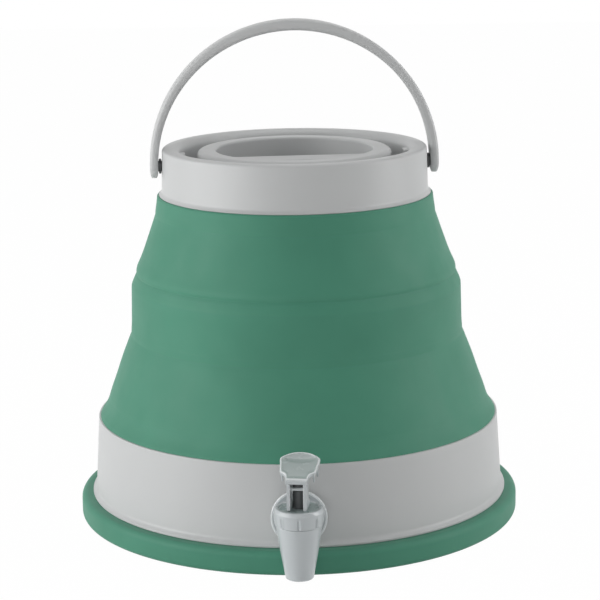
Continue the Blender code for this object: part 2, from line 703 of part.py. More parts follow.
def bail_section(radius, thickness, half_width, angle, drop, inset):
    """Return one section of the strap: eight corners, with its faces drawn in by an inset."""
    outer = -inset
    inner = inset - thickness
    side = max(half_width - BAIL_ROUND, half_width / 2)
    cut = BAIL_ROUND - inset / 2
    loop = [
        (outer, side), (outer - cut, half_width), (inner + cut, half_width), (inner, side),
        (inner, -side), (inner + cut, -half_width), (outer - cut, -half_width), (outer, -side),
    ]
    across = Vector((math.cos(angle), 0, math.sin(angle)))
    return [across * (radius + depth) + Vector((0, y, -drop)) for depth, y in loop]


def make_bail(bail_pivot):
    """Strap handle that stands in a half circle, with sockets for the two pins."""
    half_width = BAIL_WIDTH / 2
    sections = []
    for station in range(BAIL_END_STATIONS):
        tip = math.pi / 2 * (1 - (station + 0.5) / (BAIL_END_STATIONS + 0.5))
        wide, drop = half_width * math.cos(tip), half_width * math.sin(tip)
        inset = BAIL_ROUND * (1 - math.cos(tip))
        sections.append(bail_section(BAIL_RADIUS, BAIL_END_THICKNESS, wide, 0, drop, inset))
    for station in range(BAIL_STATIONS + 1):
        angle = math.pi * station / BAIL_STATIONS
        sections.append(bail_section(BAIL_RADIUS, bail_thickness(angle), half_width, angle, 0, 0))
    for section in list(reversed(sections[:BAIL_END_STATIONS])):
        sections.append([Vector((-point.x, point.y, point.z)) for point in section])
    shape = bmesh.new()
    loops = [[shape.verts.new(point) for point in section] for section in sections]
    for lower, upper in zip(loops, loops[1:]):
        for index in range(len(lower)):
            after = (index + 1) % len(lower)
            shape.faces.new((lower[index], lower[after], upper[after], upper[index]))
    shape.faces.new(loops[0])
    shape.faces.new(loops[-1])
    bail = add_piece("bail_handle", finished("bail_handle", shape), GREY_PLASTIC, bail_pivot)
    strap_inside = BAIL_RADIUS - BAIL_END_THICKNESS
    collar_outside = COLLAR_RADIUS + COLLAR_TAPER * PIVOT_DROP / (COLLAR_HEIGHT - COLLAR_FLARE_HEIGHT)
    for side, word in ((-1, "left"), (1, "right")):
        socket = drum_mesh(
            "pin_socket", PIN_RADIUS + FIT, side * (strap_inside - OVERRUN),
            side * (strap_inside + PIN_SOCKET_DEPTH), "X"
        )
        combine(bail, add_cutter("pin_socket", socket, bail_pivot), "DIFFERENCE")
        make_pin(word, side, strap_inside, collar_outside, bail_pivot)


def make_pin(word, side, strap_inside, collar_outside, bail_pivot):
    """Pivot pin from the strap's socket through the collar, and the clip behind the collar's wall."""
    tip = strap_inside + PIN_SOCKET_DEPTH - FIT
    bend = math.pi / BAIL_STATIONS
    bend_radius = BAIL_RADIUS - bail_thickness(bend)
    lean = (strap_inside / bend_radius - math.cos(bend)) / math.sin(bend)
    head_outer = strap_inside - PIN_HEAD_RADIUS * lean - FIT
    head_inner = collar_outside + FIT
    inner_end = NECK_SKIRT_RADIUS + PIN_END_GAP
    pin = turned("bail_pin_" + word, [
        (0, tip, 0),
        (PIN_RADIUS, tip, 0),
        (PIN_RADIUS, head_outer, 0),
        (PIN_HEAD_RADIUS, head_outer, 0),
        (PIN_HEAD_RADIUS, head_inner, 0),
        (PIN_RADIUS, head_inner, 0),
        (PIN_RADIUS, inner_end, 0),
        (0, inner_end, 0),
    ], DARK_PLASTIC, closed=False, steps=SMALL_STEPS, parent=bail_pivot)
    pin.rotation_euler = (0, side * math.pi / 2, 0)
    facet_reach = COLLAR_INSIDE * math.cos(math.pi / RING_STEPS)
    clip_face = math.sqrt(facet_reach ** 2 - CLIP_RADIUS ** 2) - FIT
    clip = turned("pin_clip_" + word, [
        (CLIP_RADIUS, clip_face, 0),
        (CLIP_RADIUS, clip_face - CLIP_THICKNESS, 0),
        (PIN_RADIUS + FIT, clip_face - CLIP_THICKNESS, 0),
        (PIN_RADIUS + FIT, clip_face, 0),
    ], STEEL, steps=SMALL_STEPS, parent=bail_pivot)
    clip.rotation_euler = (0, side * math.pi / 2, 0)


def make_tap_fixing(shank_line):
    """Gaskets on both sides of the pan's wall and the lock nut."""
    hole = SHANK_RADIUS + FIT
    for name, face in (("tap_gasket_outer", PAD_FACE + FIT), ("tap_gasket_inner", NUT_FACE + FIT)):
        gasket = turned(name, [
            (TAP_GASKET_RADIUS, face + TAP_GASKET_THICKNESS, 0),
            (TAP_GASKET_RADIUS, face, 0),
            (hole, face, 0),
            (hole, face + TAP_GASKET_THICKNESS, 0),
        ], SILICONE, steps=SMALL_STEPS, parent=shank_line)
        gasket.rotation_euler = (math.pi / 2, 0, 0)
    blank = drum_mesh("tap_nut", NUT_RADIUS, -NUT_FACE, -NUT_BACK, "Y", NUT_SIDES)
    nut = add_piece("tap_nut", blank, CLEAR_PLASTIC, shank_line)
    bore = drum_mesh("nut_bore", hole, -NUT_FACE - OVERRUN, -NUT_BACK + OVERRUN, "Y")
    combine(nut, add_cutter("nut_bore", bore, shank_line), "DIFFERENCE")


def make_tap_body(tap_axis, shank_line):
    """Tap body: nozzle and valve chamber, joined to the flange and the shank through the wall."""
    body = turned("tap_body", [
        (BODY_NECK_RADIUS, BODY_NECK_TOP, 0),
        (BODY_NECK_RADIUS, CONE_TOP, 0),
        (CONE_TOP_RADIUS, CONE_TOP, 0),
        (CONE_WAIST_RADIUS, CONE_WAIST, 0),
        (NOZZLE_END_RADIUS, NOZZLE_END_HEIGHT, NOZZLE_ROUND),
        (NOZZLE_BORE, NOZZLE_END_HEIGHT, 0),
        (NOZZLE_BORE, TAP_SEAT, 0),
        (CHAMBER_RADIUS, TAP_SEAT, 0),
        (CHAMBER_RADIUS, BODY_NECK_TOP, 0),
    ], CLEAR_PLASTIC, steps=SMALL_STEPS, parent=tap_axis)
    link_start = (CHAMBER_RADIUS + BODY_NECK_RADIUS) / 2 - TAP_REACH
    mid_flange = -(FLANGE_BACK + FLANGE_FACE) / 2
    link_mesh = drum_mesh("inlet_link", INLET_OUTER_RADIUS - FIT, link_start, mid_flange, "Y")
    link = add_cutter("inlet_link", link_mesh)
    link.location.z = INLET_HEIGHT
    combine(body, link, "UNION")
    face_radius = FLANGE_RADIUS - FLANGE_THICKNESS / 4
    flange = drum_mesh(
        "tap_flange", face_radius, -FLANGE_FACE, -FLANGE_BACK, "Y", RING_STEPS, FLANGE_RADIUS
    )
    combine(body, add_cutter("tap_flange", flange, shank_line), "UNION")
    shank = drum_mesh("tap_shank", SHANK_RADIUS, mid_flange, -SHANK_INNER_END, "Y")
    combine(body, add_cutter("tap_shank", shank, shank_line), "UNION")
    inlet = add_cutter("inlet_bore", drum_mesh(
        "inlet_bore", INLET_RADIUS, -TAP_REACH + CHAMBER_RADIUS / 2, -SHANK_INNER_END + OVERRUN, "Y"
    ))
    inlet.location.z = INLET_HEIGHT
    combine(body, inlet, "DIFFERENCE")


def make_bonnet(tap_axis):
    """Bonnet with grip ribs, screwed over the body's neck."""
    stem_hole = STEM_RADIUS + FIT
    bonnet = turned("tap_bonnet", [
        (stem_hole, BONNET_TOP, 0),
        (BONNET_DISC_RADIUS, BONNET_TOP, 0),
        (BONNET_RADIUS, BONNET_TOP - BONNET_CHAMFER, BONNET_CHAMFER / 3),
        (BONNET_FOOT_RADIUS, BONNET_BOTTOM, 0),
        (BONNET_INSIDE, BONNET_BOTTOM, 0),
        (BONNET_INSIDE, BONNET_CEILING, 0),
        (stem_hole, BONNET_CEILING, 0),
    ], CLEAR_PLASTIC, steps=SMALL_STEPS, parent=tap_axis)
    slope = BONNET_SPREAD / (BONNET_HEIGHT - BONNET_CHAMFER)
    inner = (BONNET_FOOT_RADIUS + BONNET_INSIDE) / 2
    outer = BONNET_FOOT_RADIUS + RIB_PROUD + slope * RIB_HEIGHT / 2
    for number in range(RIB_COUNT):
        rib = box_mesh(
            "bonnet_rib",
            (inner, -RIB_WIDTH / 2, BONNET_BOTTOM + FIT),
            (outer, RIB_WIDTH / 2, BONNET_BOTTOM + RIB_HEIGHT),
        )
        guide = add_cutter("bonnet_rib", rib, tap_axis)
        guide.rotation_euler = (0, 0, -math.pi / 2 + math.tau * number / RIB_COUNT)
        combine(bonnet, guide, "UNION")


def make_valve(lever_axis):
    """Stem, seat cup and return spring inside the tap."""
    stem = turned("tap_stem", [
        (0, STEM_TOP, 0),
        (STEM_RADIUS, STEM_TOP, STEM_ROUND),
        (STEM_RADIUS, COLLET_TOP, 0),
        (COLLET_RADIUS, COLLET_TOP, 0),
        (COLLET_RADIUS, COLLET_BOTTOM, 0),
        (STEM_FOOT_RADIUS, COLLET_BOTTOM, 0),
        (STEM_FOOT_RADIUS, STEM_BOTTOM, 0),
        (0, STEM_BOTTOM, 0),
    ], DARK_PLASTIC, closed=False, steps=SMALL_STEPS, parent=lever_axis)
    opening = BAR_RADIUS + FIT
    notch = box_mesh(
        "bar_notch",
        (-STEM_RADIUS - OVERRUN, -STEM_RADIUS - OVERRUN, BAR_HEIGHT - opening),
        (STEM_RADIUS + OVERRUN, -BAR_REACH + opening, BAR_HEIGHT + opening),
    )
    combine(stem, add_cutter("bar_notch", notch, lever_axis), "DIFFERENCE")
    socket = STEM_FOOT_RADIUS + FIT
    turned("seat_cup", [
        (0, STEM_BOTTOM - FIT, 0),
        (socket, STEM_BOTTOM - FIT, 0),
        (socket, CUP_TOP, 0),
        (CUP_TOP_RADIUS, CUP_TOP, 0),
        (CUP_RADIUS, CUP_BOTTOM + CUP_RIM, 0),
        (CUP_RADIUS, CUP_BOTTOM, 0),
        (0, CUP_BOTTOM, 0),
    ], SILICONE, closed=False, steps=SMALL_STEPS, parent=lever_axis)
    low = COLLET_TOP + FIT + SPRING_WIRE
    high = BONNET_CEILING - FIT - SPRING_WIRE
    pitch = (high - low) / SPRING_TURNS
    print("spring's least gap to itself in mm:", round((pitch - 2 * SPRING_WIRE) * 1000, 3))
    wire = coil_mesh("tap_spring", SPRING_RADIUS, SPRING_WIRE, low, pitch, SPRING_TURNS, SPRING_POINTS)
    add_piece("tap_spring", wire, STEEL, lever_axis)


def thumb_pad_outline(inset):
    """Return the thumb pad's outline, drawn in by an inset, with its length along Y."""
    half = THUMB_PAD_WIDTH / 2 - inset
    length = THUMB_PAD_LENGTH - 2 * inset
    right = [(half * side, inset + length * along) for along, side in THUMB_PAD_SHARES]
    return right + [(-x, y) for x, y in reversed(right)]


def make_lever(lever_pivot):
    """Lever: a dished thumb pad with a skirt, a front lip, two cheeks and the cross bar."""
    tilt = add_empty("thumb_pad_tilt", (0, -CHEEK_FRONT - FIT, THUMB_PAD_RISE))
    tilt.parent = lever_pivot
    tilt.rotation_euler = (THUMB_PAD_TILT, 0, 0)
    pad = plate_mesh("tap_lever", thumb_pad_outline(0), THUMB_PAD_SKIRT)
    lever = add_piece("tap_lever", pad, CLEAR_PLASTIC, tilt)
    lever.location.z = -THUMB_PAD_SKIRT / 2
    hollow = plate_mesh("pad_hollow", thumb_pad_outline(THUMB_PAD_WALL), THUMB_PAD_SKIRT)
    under = add_cutter("pad_hollow", hollow, tilt)
    under.location.z = -THUMB_PAD_SKIRT / 2 - THUMB_PAD_THICKNESS
    combine(lever, under, "DIFFERENCE")
    dish_ball = bmesh.new()
    ball_radius = (DISH_RADIUS ** 2 + DISH_DEPTH ** 2) / (2 * DISH_DEPTH)
    bmesh.ops.create_uvsphere(dish_ball, u_segments=RING_STEPS, v_segments=RING_STEPS, radius=ball_radius)
    dish = add_cutter("pad_dish", finished("pad_dish", dish_ball), tilt)
    dish.location = (0, THUMB_PAD_LENGTH * DISH_PLACE_SHARE, ball_radius - DISH_DEPTH)
    combine(lever, dish, "DIFFERENCE")
    lip = box_mesh(
        "pad_lip",
        (-LIP_WIDTH / 2, -CHEEK_FRONT - LIP_THICKNESS / 2, THUMB_PAD_RISE - LIP_DEPTH),
        (LIP_WIDTH / 2, -CHEEK_FRONT + LIP_THICKNESS / 2, THUMB_PAD_RISE - THUMB_PAD_THICKNESS / 4),
    )
    combine(lever, add_cutter("pad_lip", lip, lever_pivot), "UNION")
    gap = STEM_RADIUS + FIT
    foot = BONNET_TOP + FIT - BAR_HEIGHT
    slope = math.tan(THUMB_PAD_TILT)
    under_pad = THUMB_PAD_RISE - THUMB_PAD_THICKNESS / 2
    side_view = rounded([
        (-CHEEK_FRONT, foot, 0),
        (CHEEK_BACK, foot, CHEEK_TOE),
        (CHEEK_BACK, under_pad + slope * (CHEEK_FRONT + CHEEK_BACK), 0),
        (-CHEEK_FRONT, under_pad, 0),
    ])
    for side in (-1, 1):
        cheek = add_cutter("lever_cheek", plate_mesh("lever_cheek", side_view, CHEEK_THICKNESS), lever_pivot)
        cheek.location.x = side * (gap + CHEEK_THICKNESS / 2)
        cheek.rotation_euler = (math.pi / 2, 0, math.pi / 2)
        combine(lever, cheek, "UNION")
    inside_cheek = gap + CHEEK_THICKNESS / 2
    bar = drum_mesh("lever_bar", BAR_RADIUS, -inside_cheek, inside_cheek, "X", SMALL_STEPS // 2)
    combine(lever, add_cutter("lever_bar", bar, lever_pivot), "UNION")


def make_tap(shank_line):
    """Tap in the pan's wall, with its valve and lever."""
    tap_axis = add_empty("tap_axis", (0, -TAP_REACH, 0))
    lever_axis = add_empty("lever_axis", (0, -TAP_REACH, 0), LEVER_TURN)
    lever_pivot = add_empty("lever_pivot", (0, -BAR_REACH, BAR_HEIGHT))
    lever_pivot.parent = lever_axis
    make_tap_fixing(shank_line)
    make_tap_body(tap_axis, shank_line)
    make_bonnet(tap_axis)
    make_valve(lever_axis)
    make_lever(lever_pivot)


def build():
    """Build the whole carrier."""
    make_tray()
    shank_line = make_pan()
    make_wall()
    bail_pivot = add_empty("bail_pivot", (0, 0, PIVOT_HEIGHT), BAIL_TURN)
    make_collar(bail_pivot)
    make_neck()
    make_lid()
    make_bail(bail_pivot)
    make_tap(shank_line)


build()
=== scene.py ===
"""Looks of the collapsible water carrier: finer pieces over the fixed frame, materials, light and camera."""
import math

import bmesh
import bpy
from mathutils import Matrix, Vector


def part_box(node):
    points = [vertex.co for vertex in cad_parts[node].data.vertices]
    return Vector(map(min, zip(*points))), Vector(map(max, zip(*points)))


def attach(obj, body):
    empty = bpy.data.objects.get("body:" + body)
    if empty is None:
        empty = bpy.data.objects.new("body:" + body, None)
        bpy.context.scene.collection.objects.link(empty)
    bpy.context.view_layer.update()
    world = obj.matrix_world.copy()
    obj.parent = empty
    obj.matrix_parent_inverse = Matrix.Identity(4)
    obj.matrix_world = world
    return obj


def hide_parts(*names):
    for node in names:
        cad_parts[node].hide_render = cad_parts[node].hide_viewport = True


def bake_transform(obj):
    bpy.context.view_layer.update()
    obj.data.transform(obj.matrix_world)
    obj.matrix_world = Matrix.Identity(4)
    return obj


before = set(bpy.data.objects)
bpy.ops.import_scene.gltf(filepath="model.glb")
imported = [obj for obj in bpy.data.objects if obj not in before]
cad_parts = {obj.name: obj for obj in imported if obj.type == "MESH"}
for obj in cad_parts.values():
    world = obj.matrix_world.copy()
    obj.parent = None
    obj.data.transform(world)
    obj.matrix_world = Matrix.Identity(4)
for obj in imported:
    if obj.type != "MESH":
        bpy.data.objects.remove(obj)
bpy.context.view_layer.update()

# All lengths are in metres. The tap faces -Y, and the bail swings about X.

# Fineness of the meshes
FIT = 0.0003
HOLD = 0.0004
MERGE_DISTANCE = 0.000001
RING_STEPS = 192
SMALL_STEPS = 72
RIBBED_STEPS = 320
FILLET_ANGLE = math.radians(12)
SHARP_ANGLE = math.radians(38)
CURVE_STEPS = 3
HOLD_SHARE = 0.9
BEVEL_STEPS = 4
BEVEL_SHARE = 0.5

# Foot tray and pan
TRAY_FLOOR = 0.003
TRAY_SEAT_GAP = 0.0003
TRAY_RIM_WIDTH = 0.010
TRAY_ROUND = 0.0035
TRAY_TOP_ROUND = 0.0046
TRAY_INNER_ROUND = 0.0009
PAN_WALL = 0.0025
PAN_FLOOR = 0.003
PAN_CORNER = 0.003
BAND_SET_BACK = 0.001
BAND_TAPER = 0.0033
BAND_TOP_SINK = 0.0014
BAND_ROUND = 0.0006
BAND_INNER_ROUND = 0.0004
FOOT_LIP_HEIGHT = 0.0034
FOOT_LIP_ROUND = 0.0007
FOOT_LIP_FILLET = 0.0030
FOOT_LIP_EDGE_SHARE = 0.38

# Folding wall
WALL = 0.0025

# Each pair is a share of the ring's height, then of the way from its top radius to its bottom radius
SHOULDER_SHARES = (
    (0, 1), (0.13, 0.85), (0.28, 0.64), (0.44, 0.44), (0.59, 0.29), (0.74, 0.17), (0.89, 0.06),
)
LOWER_WEB_SHARES = (
    (0, 1), (0.04, 0.96), (0.13, 0.868), (0.25, 0.738), (0.375, 0.612), (0.5, 0.488), (0.62, 0.359),
    (0.74, 0.22), (0.85, 0.094), (0.895, 0.032), (0.915, 0.012), (0.94, 0.008),
)
MID_BAND_LOW_SHARES = ((0, 1), (0.04, 0.966), (0.17, 0.922), (0.37, 0.888))
MID_BAND_HIGH_SHARES = (
    (0.37, 0.888), (0.57, 0.853), (0.66, 0.832), (0.69, 0.80), (0.72, 0.715), (0.77, 0.545), (0.82, 0.365),
    (0.845, 0.26), (0.86, 0.175), (0.875, 0.145), (0.89, 0.185), (0.92, 0.185), (0.96, 0.12),
)
UPPER_WEB_SHARES = (
    (0, 1), (0.10, 0.869), (0.26, 0.686), (0.42, 0.526), (0.58, 0.369), (0.74, 0.215), (0.89, 0.072),
    (0.95, 0.016), (0.975, 0.004),
)
LIP_SHARES = ((0, 1), (0.18, 0.84), (0.42, 0.55), (0.66, 0.29), (0.86, 0.10))

# Collar shell
COLLAR_HEIGHT = 0.0348
COLLAR_TAPER = 0.0008
COLLAR_FLARE = 0.0044
COLLAR_FLARE_HEIGHT = 0.0066
COLLAR_WALL = 0.0025
FOOT_STEP_HEIGHT = 0.0046
FOOT_EDGE_RISE = 0.0015
FOOT_REBATE = 0.0020
RIM_WIDTH = 0.013
RIM_DROP = 0.0014
RIM_LIP_WALL = 0.002
CROWN_DEPTH = 0.006
CHANNEL_DEPTH = 0.0144
LUG_WIDTH = 0.012
LUG_REACH = 0.0036
LUG_DROP = 0.0028
LUG_ROUND = 0.0007

# Collar's foot, top to bottom: share of its height, then of its step out
FOOT_STEP_SHARES = (
    (0, 0), (0.12, 0.03), (0.26, 0.12), (0.42, 0.30), (0.58, 0.52), (0.74, 0.74), (0.88, 0.90), (1, 1),
)

# Rim's crown from its inner to its outer side: share of its width, then of its depth
CROWN_SHARES = (
    (0, 1), (0.015, 0.75), (0.06, 0.52), (0.15, 0.30), (0.28, 0.13), (0.42, 0.03), (0.56, 0), (0.72, 0.02),
    (0.84, 0.04), (0.93, 0.11), (0.985, 0.25), (1, 0.42),
)

# Neck ring
NECK_PLATE = 0.0025
NECK_WALL = 0.003
NECK_GAP = 0.0168
NECK_RISE = 0.008
NECK_DROP = 0.008
NECK_SKIRT = 0.013
NECK_ROUND = 0.0004
THREAD_RADIUS = 0.0009
THREAD_PITCH = 0.0032
THREAD_TURNS = 1.25

# Lid
LID_TURN = math.radians(5.8)
LID_OVERHANG = 0.0047
LID_WALL = 0.0022
LID_PLATE = 0.0024
LID_ROUND = 0.0040
WELL_ROUND = 0.0016
LID_FOOT_ROUND = 0.0004
WELL_INSET = 0.0088
WELL_DEPTH = 0.0284
WELL_CORNER = 0.003
GRIP_WIDTH = 0.021
GRIP_SINK = 0.0068
GRIP_ROUND = 0.0009
GASKET_WIDTH = 0.0064
GASKET_ROUND = 0.0003

# Bail, pins and clips
BAIL_TURN = math.radians(3.5)
PIVOT_DROP = 0.0129
BAIL_REACH = 0.0088
BAIL_WIDTH = 0.017
BAIL_END_THICKNESS = 0.0060
BAIL_TOP_THICKNESS = 0.0076
BAIL_RISE_SHARE = 0.994
BAIL_ROUND = 0.0026
BAIL_TIP_ROUND = 0.0016
BAIL_STATIONS = 120
BAIL_END_STATIONS = 14
BAIL_CORNER_STEPS = 6
TIP_START_SHARE = 0.3
PIN_RADIUS = 0.0039
PIN_HEAD_RADIUS = 0.0054
PIN_ROUND = 0.0004
PIN_HEAD_ROUND = 0.0006
PIN_SOCKET_DEPTH = 0.0034
PIN_HEAD_GAP = 0.0004
PIN_END_GAP = 0.0005
CLIP_RADIUS = 0.0074
CLIP_THICKNESS = 0.0014
CLIP_ROUND = 0.0002
CLIP_FACE_GAP = 0.0010

# Tap fixing
TAP_LIFT = 0.0029
PAD_RADIUS = 0.017
PAD_PROUD = 0.0012
PAD_INSIDE = 0.0021
SHANK_RADIUS = 0.0095
SHANK_END = 0.0018
SHANK_ROUND = 0.0006
TAP_GASKET_RADIUS = 0.0155
TAP_GASKET_THICKNESS = 0.0015
FLANGE_RADIUS = 0.0191
FLANGE_THICKNESS = 0.0028
FLANGE_RIM = 0.0014
FLANGE_SINK = 0.0003
FLANGE_ROUND = 0.0006
NUT_RADIUS = 0.0165
NUT_THICKNESS = 0.008
NUT_SIDES = 6
NUT_CHAMFER = 0.0016

# Tap body, bonnet and valve, at heights above the floor and on their own upright axis
NOZZLE_END_RADIUS = 0.0094
NOZZLE_ROUND = 0.0011
NOZZLE_BORE = 0.0065
CONE_WAIST = 0.0248
CONE_WAIST_RADIUS = 0.0131
CONE_WAIST_ROUND = 0.004
CONE_TOP = 0.0412
CONE_TOP_RADIUS = 0.0154
CONE_TOP_ROUND = 0.0004
BODY_NECK_RADIUS = 0.0132
CHAMBER_RADIUS = 0.0113
TAP_SEAT = 0.0300
INLET_DROP = 0.0036
INLET_RADIUS = 0.004
INLET_OUTER_RADIUS = 0.0055
BONNET_RIM_HEIGHT = 0.0024
BONNET_SPREAD = 0.00105
BONNET_DRAW_IN = 0.0014
BONNET_SIDE = 0.0024
BONNET_CEILING_DROP = 0.0020
BONNET_ROUND = 0.0011
BONNET_DISC_SINK = 0.0004
BONNET_DISC_RADIUS = 0.0133
BONNET_FOOT_ROUND = 0.0003
RIB_COUNT = 8
RIB_TURN = math.radians(4.5)
RIB_WIDTH = 0.0015
RIB_PROUD = 0.0004
RIB_HEIGHT = 0.0068
RIB_SHARPNESS = 4
GROOVE_SHARPNESS = 2
GROOVE_DEPTH = 0.0007
GROOVE_OFFSET = 0.0016
STEM_RADIUS = 0.0041
STEM_ROUND = 0.0013
STEM_FOOT_RADIUS = 0.0036
COLLET_RADIUS = 0.0085
COLLET_THICKNESS = 0.0015
COLLET_DROP = 0.0087
COLLET_ROUND = 0.0003
CUP_RADIUS = 0.009
CUP_TOP_RADIUS = 0.0058
CUP_RIM = 0.0042
CUP_FLOOR = 0.0024
CUP_ROUND = 0.0006
SPRING_RADIUS = 0.0064
SPRING_WIRE = 0.0005
SPRING_TURNS = 4
SPRING_STATIONS = 28
WIRE_SIDES = 10

# Lever
LEVER_TURN = math.radians(-8)
BAR_RADIUS = 0.0011
BAR_RISE = 0.0131
BAR_REACH = 0.0032
CHEEK_THICKNESS = 0.0022
CHEEK_FRONT = 0.0073
CHEEK_DEPTH = 0.0105
CHEEK_BACK = 0.0112
CHEEK_TOE = 0.0016
CHEEK_FOOT = 0.0034
CHEEK_ROUND = 0.0015
LIP_WIDTH = 0.0144
LIP_THICKNESS = 0.002
LIP_DEPTH = 0.0032
THUMB_PAD_LENGTH = 0.0284
THUMB_PAD_WIDTH = 0.0269
THUMB_PAD_THICKNESS = 0.0022
THUMB_PAD_SKIRT = 0.0026
THUMB_PAD_WALL = 0.0016
THUMB_PAD_ROUND = 0.0008
THUMB_PAD_RISE = 0.0087
THUMB_PAD_TILT = math.radians(24)
THUMB_PAD_BORDER = 0.0012
THUMB_PAD_SINK = 0.0004
SINK_START_SHARE = 0.5
DISH_REACH = 0.0108
DISH_RUN = 0.0050
DISH_DEPTH = 0.0012
DISH_PLACE_SHARE = 0.79
PAD_RINGS = 24
PAD_EDGE_STEPS = 5
TAB_WALL = 0.0012
TAB_LENGTH = 0.0015
TAB_DROP = 0.0078
LEVER_VOXEL = 0.00026
LEVER_SMOOTHING = 3
LEVER_KEPT_SHARE = 0.35

# Thumb pad's side: share of its length from the front, then share of its half width
THUMB_PAD_SHARES = (
    (0, 0.54), (0.10, 0.555), (0.17, 0.60), (0.21, 0.67), (0.24, 0.76), (0.275, 0.865), (0.34, 0.905),
    (0.55, 0.95), (0.75, 1), (0.83, 0.91), (0.89, 0.75), (0.95, 0.54), (0.98, 0.36), (1, 0.12),
)

# Thumb pad's hanging tabs: share of the half width at the outer side, then of the pad's length at the front
TAB_SHARES = ((0.83, 0.235), (0.95, 0.44))

# Surroundings
FLOOR_SIZE = 8
CAMERA_PLACE = (0.0026, -1.52, 0.488)
CAMERA_DIP = 0.2158
CAMERA_ROLL = -0.0135
CAMERA_LENS = 128.25
LIGHT_AIM = (0, 0, 0.15)
LIGHT_DISTANCE = 1.5
AMBIENT = 0.065
WHITE = (1, 1, 1, 1)
FLOOR_COLOUR = (0.9, 0.9, 0.9, 1)
FLOOR_ROUGHNESS = 0.8
FLOOR_GLOW_SHARE = 0.99

# Each soft box has a name, a direction and a height in degrees, a width, a height and its watts
SOFT_BOXES = (
    ("left_box", -60, 12, 0.7, 1.3, 8.6),
    ("left_edge_box", -85, 12, 0.7, 1.3, 8.2),
    ("left_front_box", -35, 12, 0.7, 1.3, 2.0),
    ("front_box", 0, 12, 0.7, 1.3, 2.0),
    ("right_box", 85, 12, 0.7, 1.3, 10.2),
    ("right_high_box", 85, 45, 0.7, 1.3, 2.7),
    ("top_box", 180, 70, 1.3, 0.7, 4.2),
)

# Shares of the noise's range over which mottling and gloss run
MOTTLE_SHARES = (0.35, 0.65)
GLOSS_SHARES = (0.3, 0.7)
FINE_GRAIN = (3000, 0.000003, 0.3, 2)

# Each finish has its two colours, its mottling's scale and detail, its lowest and highest roughness with
# their scale, its grains, each with a scale, a depth, a strength and a detail, and other settings.
# A stretch along the axes may follow a detail.
FINISH_VALUES = {
    "green_rubber": (
        ((0.060, 0.240, 0.158), (0.065, 0.256, 0.169)), (22, 4), (0.56, 0.64, 60),
        ((1500, 0.00002, 0.4, 2), (60, 0.00008, 0.3, 3)),
        {"Specular IOR Level": 0.35, "Sheen Weight": 0.06, "Sheen Roughness": 0.5},
    ),
    "grey_plastic": (
        ((0.562, 0.571, 0.572), (0.576, 0.585, 0.585)), (14, 3, (1, 1, 0.3)), (0.40, 0.44, 80),
        ((400, 0.00001, 0.1, 2),), {},
    ),
    "tap_plastic": (
        ((0.527, 0.562, 0.577), (0.533, 0.568, 0.583)), (60, 2), (0.25, 0.27, 120),
        (FINE_GRAIN,), {"Coat Weight": 0.4, "Coat Roughness": 0.16, "IOR": 1.49},
    ),
    # Cloudy plastic darkened as painted shade: the dark inside of the bonnet seen through the disc
    "disc_painted_shade": (
        ((0.32, 0.385, 0.38), (0.34, 0.405, 0.40)), (90, 2), (0.25, 0.31, 200),
        (FINE_GRAIN,), {},
    ),
    # Cloudy plastic lightened as painted light where its thin edges and the bar between the cheeks gather
    # the light
    "edge_painted_light": (
        ((0.79, 0.82, 0.83), (0.81, 0.84, 0.85)), (90, 2), (0.25, 0.31, 200),
        (FINE_GRAIN,), {},
    ),
    # Thin cloudy plastic darkened as painted shade, for the shade under the thumb pad seen behind it
    "pad_painted_shade": (
        ((0.44, 0.495, 0.49), (0.46, 0.515, 0.51)), (90, 2), (0.23, 0.29, 200),
        (FINE_GRAIN,), {"Coat Weight": 0.4, "Coat Roughness": 0.16},
    ),
    "dark_plastic": (
        ((0.081, 0.086, 0.088), (0.090, 0.095, 0.097)), (120, 3), (0.38, 0.52, 200),
        ((1800, 0.00002, 0.4, 2),), {},
    ),
    "seal_rubber": (
        ((0.68, 0.69, 0.67), (0.72, 0.73, 0.71)), (150, 3), (0.48, 0.62, 200),
        ((1200, 0.00003, 0.4, 2),), {},
    ),
    "spring_steel": (
        ((0.58, 0.58, 0.57), (0.66, 0.66, 0.65)), (300, 3), (0.2, 0.36, 500),
        ((2500, 0.00001, 0.4, 2, (1, 1, 4)),), {"Metallic": 1},
    ),
}


def ring_size(node):
    """Return a turned node's outer radius, bottom and top."""
    low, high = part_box(node)
    return (high.x - low.x) / 2, low.z, high.z


# Places taken from the frame, and what follows from them
TRAY_RADIUS, _, TRAY_TOP = ring_size("foot_tray")
PAN_LIP_RADIUS, PAN_BOTTOM, PAN_TOP = ring_size("lower_pan")
SEAT_RADIUS = TRAY_RADIUS - TRAY_RIM_WIDTH
BAND_FOOT_RADIUS = SEAT_RADIUS - BAND_SET_BACK
BAND_HEAD_RADIUS = BAND_FOOT_RADIUS - BAND_TAPER
BAND_TOP = PAN_TOP - BAND_TOP_SINK
TAP_RISE = TAP_LIFT + FLANGE_RADIUS
BAND_RADIUS_AT_TAP = BAND_FOOT_RADIUS - BAND_TAPER * TAP_RISE / (PAN_TOP - TRAY_TOP)
COLLAR_OUTER_RADIUS, COLLAR_BOTTOM, COLLAR_TOP = ring_size("collar_shell")
COLLAR_RADIUS = COLLAR_OUTER_RADIUS - COLLAR_FLARE
REBATE_RADIUS = COLLAR_OUTER_RADIUS - FOOT_REBATE
RIM_RADIUS = COLLAR_RADIUS - RIM_WIDTH
NECK_RADIUS = RIM_RADIUS - NECK_GAP
SKIRT_RADIUS, _, NECK_TOP = ring_size("neck_ring")
NECK_FLOOR = NECK_TOP - NECK_RISE
PIN_HOLE = PIN_RADIUS + FIT
BAIL_INSIDE = COLLAR_RADIUS + BAIL_REACH - BAIL_END_THICKNESS
BAIL_PLACE = Matrix.Translation((0, 0, COLLAR_TOP - PIVOT_DROP)) @ Matrix.Rotation(BAIL_TURN, 4, "Z")
